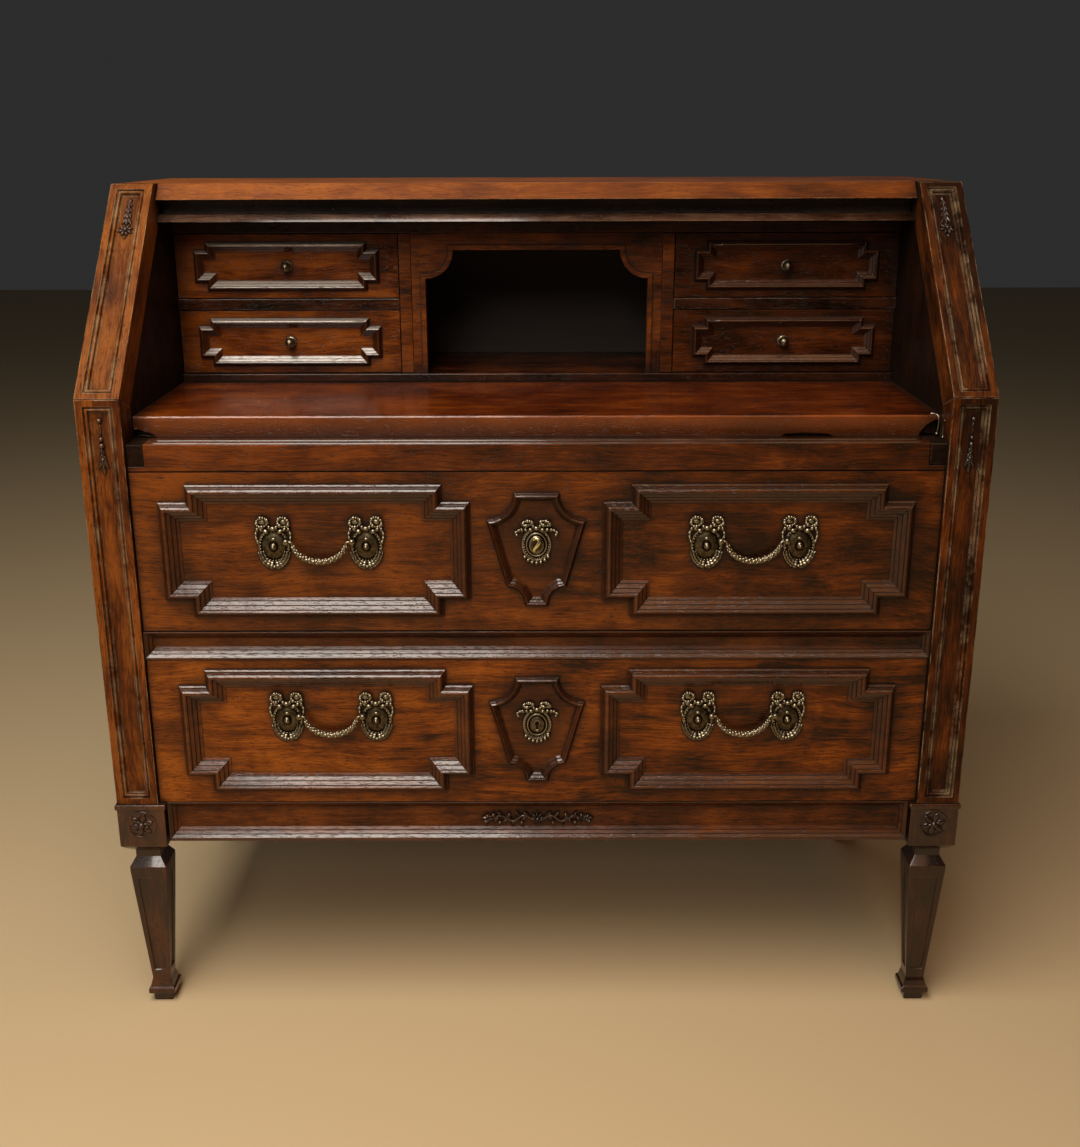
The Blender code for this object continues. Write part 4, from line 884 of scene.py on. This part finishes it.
for side in sides:
    low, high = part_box("front_post_" + side)
    knee = Vector(((low.x + high.x) / 2, low.y, high.z))
    bm = bmesh.new()
    for base, tip, width in post["slopeLeaves"]:
        addLeaf(bm, (0.0, base), (0.0, tip), width, post["leafUp"])
    addHusks(bm, *post["slopeHusks"])
    addFlower(bm, **post["slopeFlower"])
    place = boardAt(knee - slopeOut * post["sink"], slopeUp)
    makePiece("slope_drop_" + side, bm, place, "walnut_carved", "case")
    bm = bmesh.new()
    for x, v, w, r in post["kneeBeads"]:
        addBead(bm, (x, v, w), r)
    addRod(bm, post["kneeStem"], post["kneeStemR"], 0.9, 6)
    addHusks(bm, *post["kneeHusks"])
    base, tip, width = post["kneeLeaf"]
    addLeaf(bm, (0.0, base), (0.0, tip), width, post["leafUp"])
    place = boardAt(knee + Vector((0.0, post["sink"], 0.0)))
    makePiece("knee_drop_" + side, bm, place, "walnut_carved", "case")
    low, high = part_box("front_leg_" + side)
    bm = bmesh.new()
    addTurned(bm, block["ring"], block["ringR"], block["ringR"], 40)
    for radius, rise in block["flowers"]:
        addFlower(bm, (0.0, 0.0), radius, block["petals"], rise)
    place = boardAt(((low.x + high.x) / 2, low.y + block["sink"], high.z - block["drop"]))
    makePiece("block_flower_" + side, bm, place, "walnut_leg", "case")

# Half of the apron's scroll in mm; a leaf is its place, up or down, and size.
apron = {
    "sink": 0.012, "rise": 0.0262, "half": 72.0,
    "stem": ((5.0, -2.0, 3.0), (18.0, 4.5, 3.6), (32.0, -3.5, 3.4), (47.0, 4.0, 3.2), (60.0, -1.5, 2.6),
             (68.0, 2.5, 2.2)),
    "leaves": ((11, 2, 1, 9), (15, 3, -1, 9), (22, 3, 1, 8), (27, -1, -1, 10), (33, -3, 1, 10),
               (39, 0, -1, 8), (45, 3, 1, 8), (50, 2, -1, 9), (57, -1, 1, 8), (62, -1, -1, 7)),
    "berries": ((20, -5.5, 2.6), (36, 6.0, 2.6), (48, -5.0, 2.6), (56, 5.5, 2.8), (64, 4.0, 2.6),
                (66, -3.5, 2.8)),
}
bm = bmesh.new()
addFlower(bm, (0.0, 0.0), 9.0, 9, 5.0, 1.0)
for sign in (-1, 1):
    stem = smoothPath([(sign * x, v, w) for x, v, w in apron["stem"]])
    addRod(bm, stem, [1.7 - 0.8 * i / len(stem) for i in range(len(stem))], 0.9, 7)
    for x, v, way, size in apron["leaves"]:
        addLeaf(bm, (sign * x, v), (sign * (x + 0.72 * size), v + way * 0.85 * size), 5.2, 4.8, 1.4)
    for x, v, r in apron["berries"]:
        addBead(bm, (sign * x, v, 3.6), r)
    addLeaf(bm, (sign * 62.0, 0.5), (sign * apron["half"], 1.5), 6.0, 4.6, 1.0)
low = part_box("apron_rail")[0]
place = boardAt((0.0, low.y + apron["sink"], low.z + apron["rise"]))
makePiece("apron_scroll", bm, place, "walnut_carved", "case")
print("carving done")


# Wear on the writing bed: a broken corner, a chip, a worn arris and the remains of hinges.
# Outlines are in mm from the bed's lower front edge, across from the middle.
damage = {
    "cuts": (                    # depth and outline
        (16.0, ((452.0, -2.0), (481.0, -2.0), (481.0, 20.0), (472.0, 19.0), (463.0, 14.0), (457.0, 7.0))),
        (16.0, ((-481.0, 8.5), (-471.0, 9.5), (-464.0, 6.5), (-458.0, 5.0), (-452.0, 1.5), (-449.0, -2.0),
                (-481.0, -2.0))),
        (6.4, ((286.0, -2.0), (296.0, 3.0), (318.0, 4.2), (344.0, 3.0), (360.0, -2.0))),
    ),
    "gap": 0.3, "over": 0.1,     # the bed lies this far above the rail, and the arris is cut this far up
    "arris": 2.9, "past": 1.2, "half": 490.0,
    "splinters": ((-474, 8, 20), (-468, 6.6, 16), (-476, 5, 24), (-466, 3.4, 17), (-473, 2.0, 22),
                  (-462, 1.2, 12)),
}
bedLow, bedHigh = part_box("writing_bed")
railLow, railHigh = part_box("bed_rail")
bedEdge = Vector((0.0, bedLow.y, railHigh.z + damage["gap"] / 1000))
bm = bmesh.new()
for depth, outline in damage["cuts"]:
    addPrism(bm, outline, -depth, 3.0)
brim = 1000 * (bedHigh.z - bedEdge.z) + damage["over"]
worn, past = damage["arris"], damage["past"]
slant = ((brim - worn, past), (brim + past, past), (brim + past, -worn))
loft(bm, [[(u, v, w) for v, w in slant] for u in (-damage["half"], damage["half"])])
cutter = newMesh("bed_damage_cutter", bm, boardAt(bedEdge))
cutter.hide_render = True
broken = nodes["writing_bed"].modifiers.new("broken", "BOOLEAN")
broken.operation = "DIFFERENCE"
broken.solver = "EXACT"
broken.object = cutter
bm = bmesh.new()
for i, (u, v, length) in enumerate(damage["splinters"]):
    addLeaf(bm, (u - 3.0, v), (u + length, v - 1.4 + 0.5 * (i % 3)), 2.4, 2.2, -9.0 + 1.3 * i)
makePiece("bed_splinters", bm, boardAt(bedEdge), "walnut_torn", "case")

hinge = {
    "strap": ((468.0, 25.2, -8.0), (471.5, 25.2, -6.0), (474.5, 24.6, -2.5), (476.0, 21.5, 0.2),
              (476.2, 12.0, 0.4), (475.0, 2.5, 0.4)),
    "strapR": 1.1, "strapEnd": (474.8, 2.4, 0.4), "strapEndR": 1.9,
    "leaf": ((0.0, 1.0, 0.3), (-1.8, 6.0, 0.5), (-2.0, 13.0, 0.5), (-0.4, 19.0, 0.5), (2.0, 23.0, 0.3)),
    "leafR": 1.2, "leafEnd": (0.4, 2.0, 0.6), "leafEndR": 1.7, "ahead": 0.017,
}
inner = Vector((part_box("front_post_right")[0].x, bedLow.y - hinge["ahead"], railHigh.z))
places = {"strap": boardAt(bedEdge), "leaf": boardAt(inner, (0.0, 0.0, 1.0), (0.0, -1.0, 0.0))}
for part, squash in (("strap", 1.0), ("leaf", 0.6)):
    bm = bmesh.new()
    path = smoothPath(hinge[part], 4)
    addRod(bm, path, [hinge[part + "R"]] * len(path), squash, 8)
    addBead(bm, hinge[part + "End"], hinge[part + "EndR"])
    makePiece("hinge_" + part, bm, places[part], "brass_cast", "case")

# two round strips on the ledge in front of the bed; their pale finish is a painted highlight
seat = {"insets": (18.9, 3.0), "half": 452, "radius": 1.9, "step": 8}
bm = bmesh.new()
for inset in seat["insets"]:
    line = [(x, -0.5, -inset + 0.25 * math.sin(x * 0.05))
            for x in range(-seat["half"], seat["half"] + 1, seat["step"])]
    addRod(bm, line, [seat["radius"]] * len(line), 1.0, 10)
makePiece("seat_strip", bm, boardAt((0.0, railLow.y, railHigh.z)), "walnut_seat", "case")
print("bed worn")


# Matt paint, for a plain floor with a soft shadow.
stage = {"floor": "#b7a17d", "floorRough": 0.85, "reach": 9.0, "world": "#9a9a9a", "worldStrength": 0.08}
paint, _, shader = newMaterial("floor_paint")
shader.inputs["Base Color"].default_value = toLinear(stage["floor"])
shader.inputs["Roughness"].default_value = stage["floorRough"]
bm = bmesh.new()
bmesh.ops.create_grid(bm, x_segments=2, y_segments=2, size=stage["reach"])
floor = newMesh("studio_floor", bm, Matrix.Identity(4))
floor.data.materials.append(paint)

world = bpy.data.worlds.new("studio")
scene.world = world
world.use_nodes = True
sky = world.node_tree.nodes["Background"].inputs
sky["Color"].default_value = toLinear(stage["world"])
sky["Strength"].default_value = stage["worldStrength"]

lamps = {
    "ceiling_box": {"at": (-0.60, -2.25, 2.45), "aim": (-0.60, -2.25, 0.0), "size": (1.1, 3.8),
                    "power": 138.0, "colour": "#fff6ea"},
    "right_box": {"at": (0.75, -2.25, 2.45), "aim": (0.75, -2.25, 0.0), "size": (1.3, 3.8),
                  "power": 17.0, "colour": "#ffb978"},
    "back_box": {"at": (0.0, 1.9, 3.0), "aim": (0.0, 0.25, 0.5), "size": (1.8, 1.0),
                 "power": 8.0, "colour": "#fff6ea"},
    "side_box": {"at": (-2.0, -1.7, 1.25), "aim": (0.0, -0.2, 0.55), "size": (2.0, 2.0),
                 "power": 6.0, "colour": "#fff1e0"},
}
for name, lamp in lamps.items():
    data = bpy.data.lights.new(name, "AREA")
    data.shape = "RECTANGLE"
    data.size, data.size_y = lamp["size"]
    data.energy = lamp["power"]
    data.color = toLinear(lamp["colour"])[:3]
    light = bpy.data.objects.new(name, data)
    light.location = lamp["at"]
    light.rotation_euler = (Vector(lamp["aim"]) - Vector(lamp["at"])).to_track_quat("-Z", "Y").to_euler()
    scene.collection.objects.link(light)

view = {"at": (0.0076, -1.7769, 1.0929), "turnDeg": (72.308, 0.145, 0.085), "lens": 45.05}
camera = bpy.data.cameras.new("camera")
camera.sensor_fit = "HORIZONTAL"
camera.sensor_width = 36.0
camera.lens = view["lens"]
eye = bpy.data.objects.new("camera", camera)
eye.location = view["at"]
eye.rotation_euler = [math.radians(a) for a in view["turnDeg"]]
scene.collection.objects.link(eye)
scene.camera = eye
print("stage set")
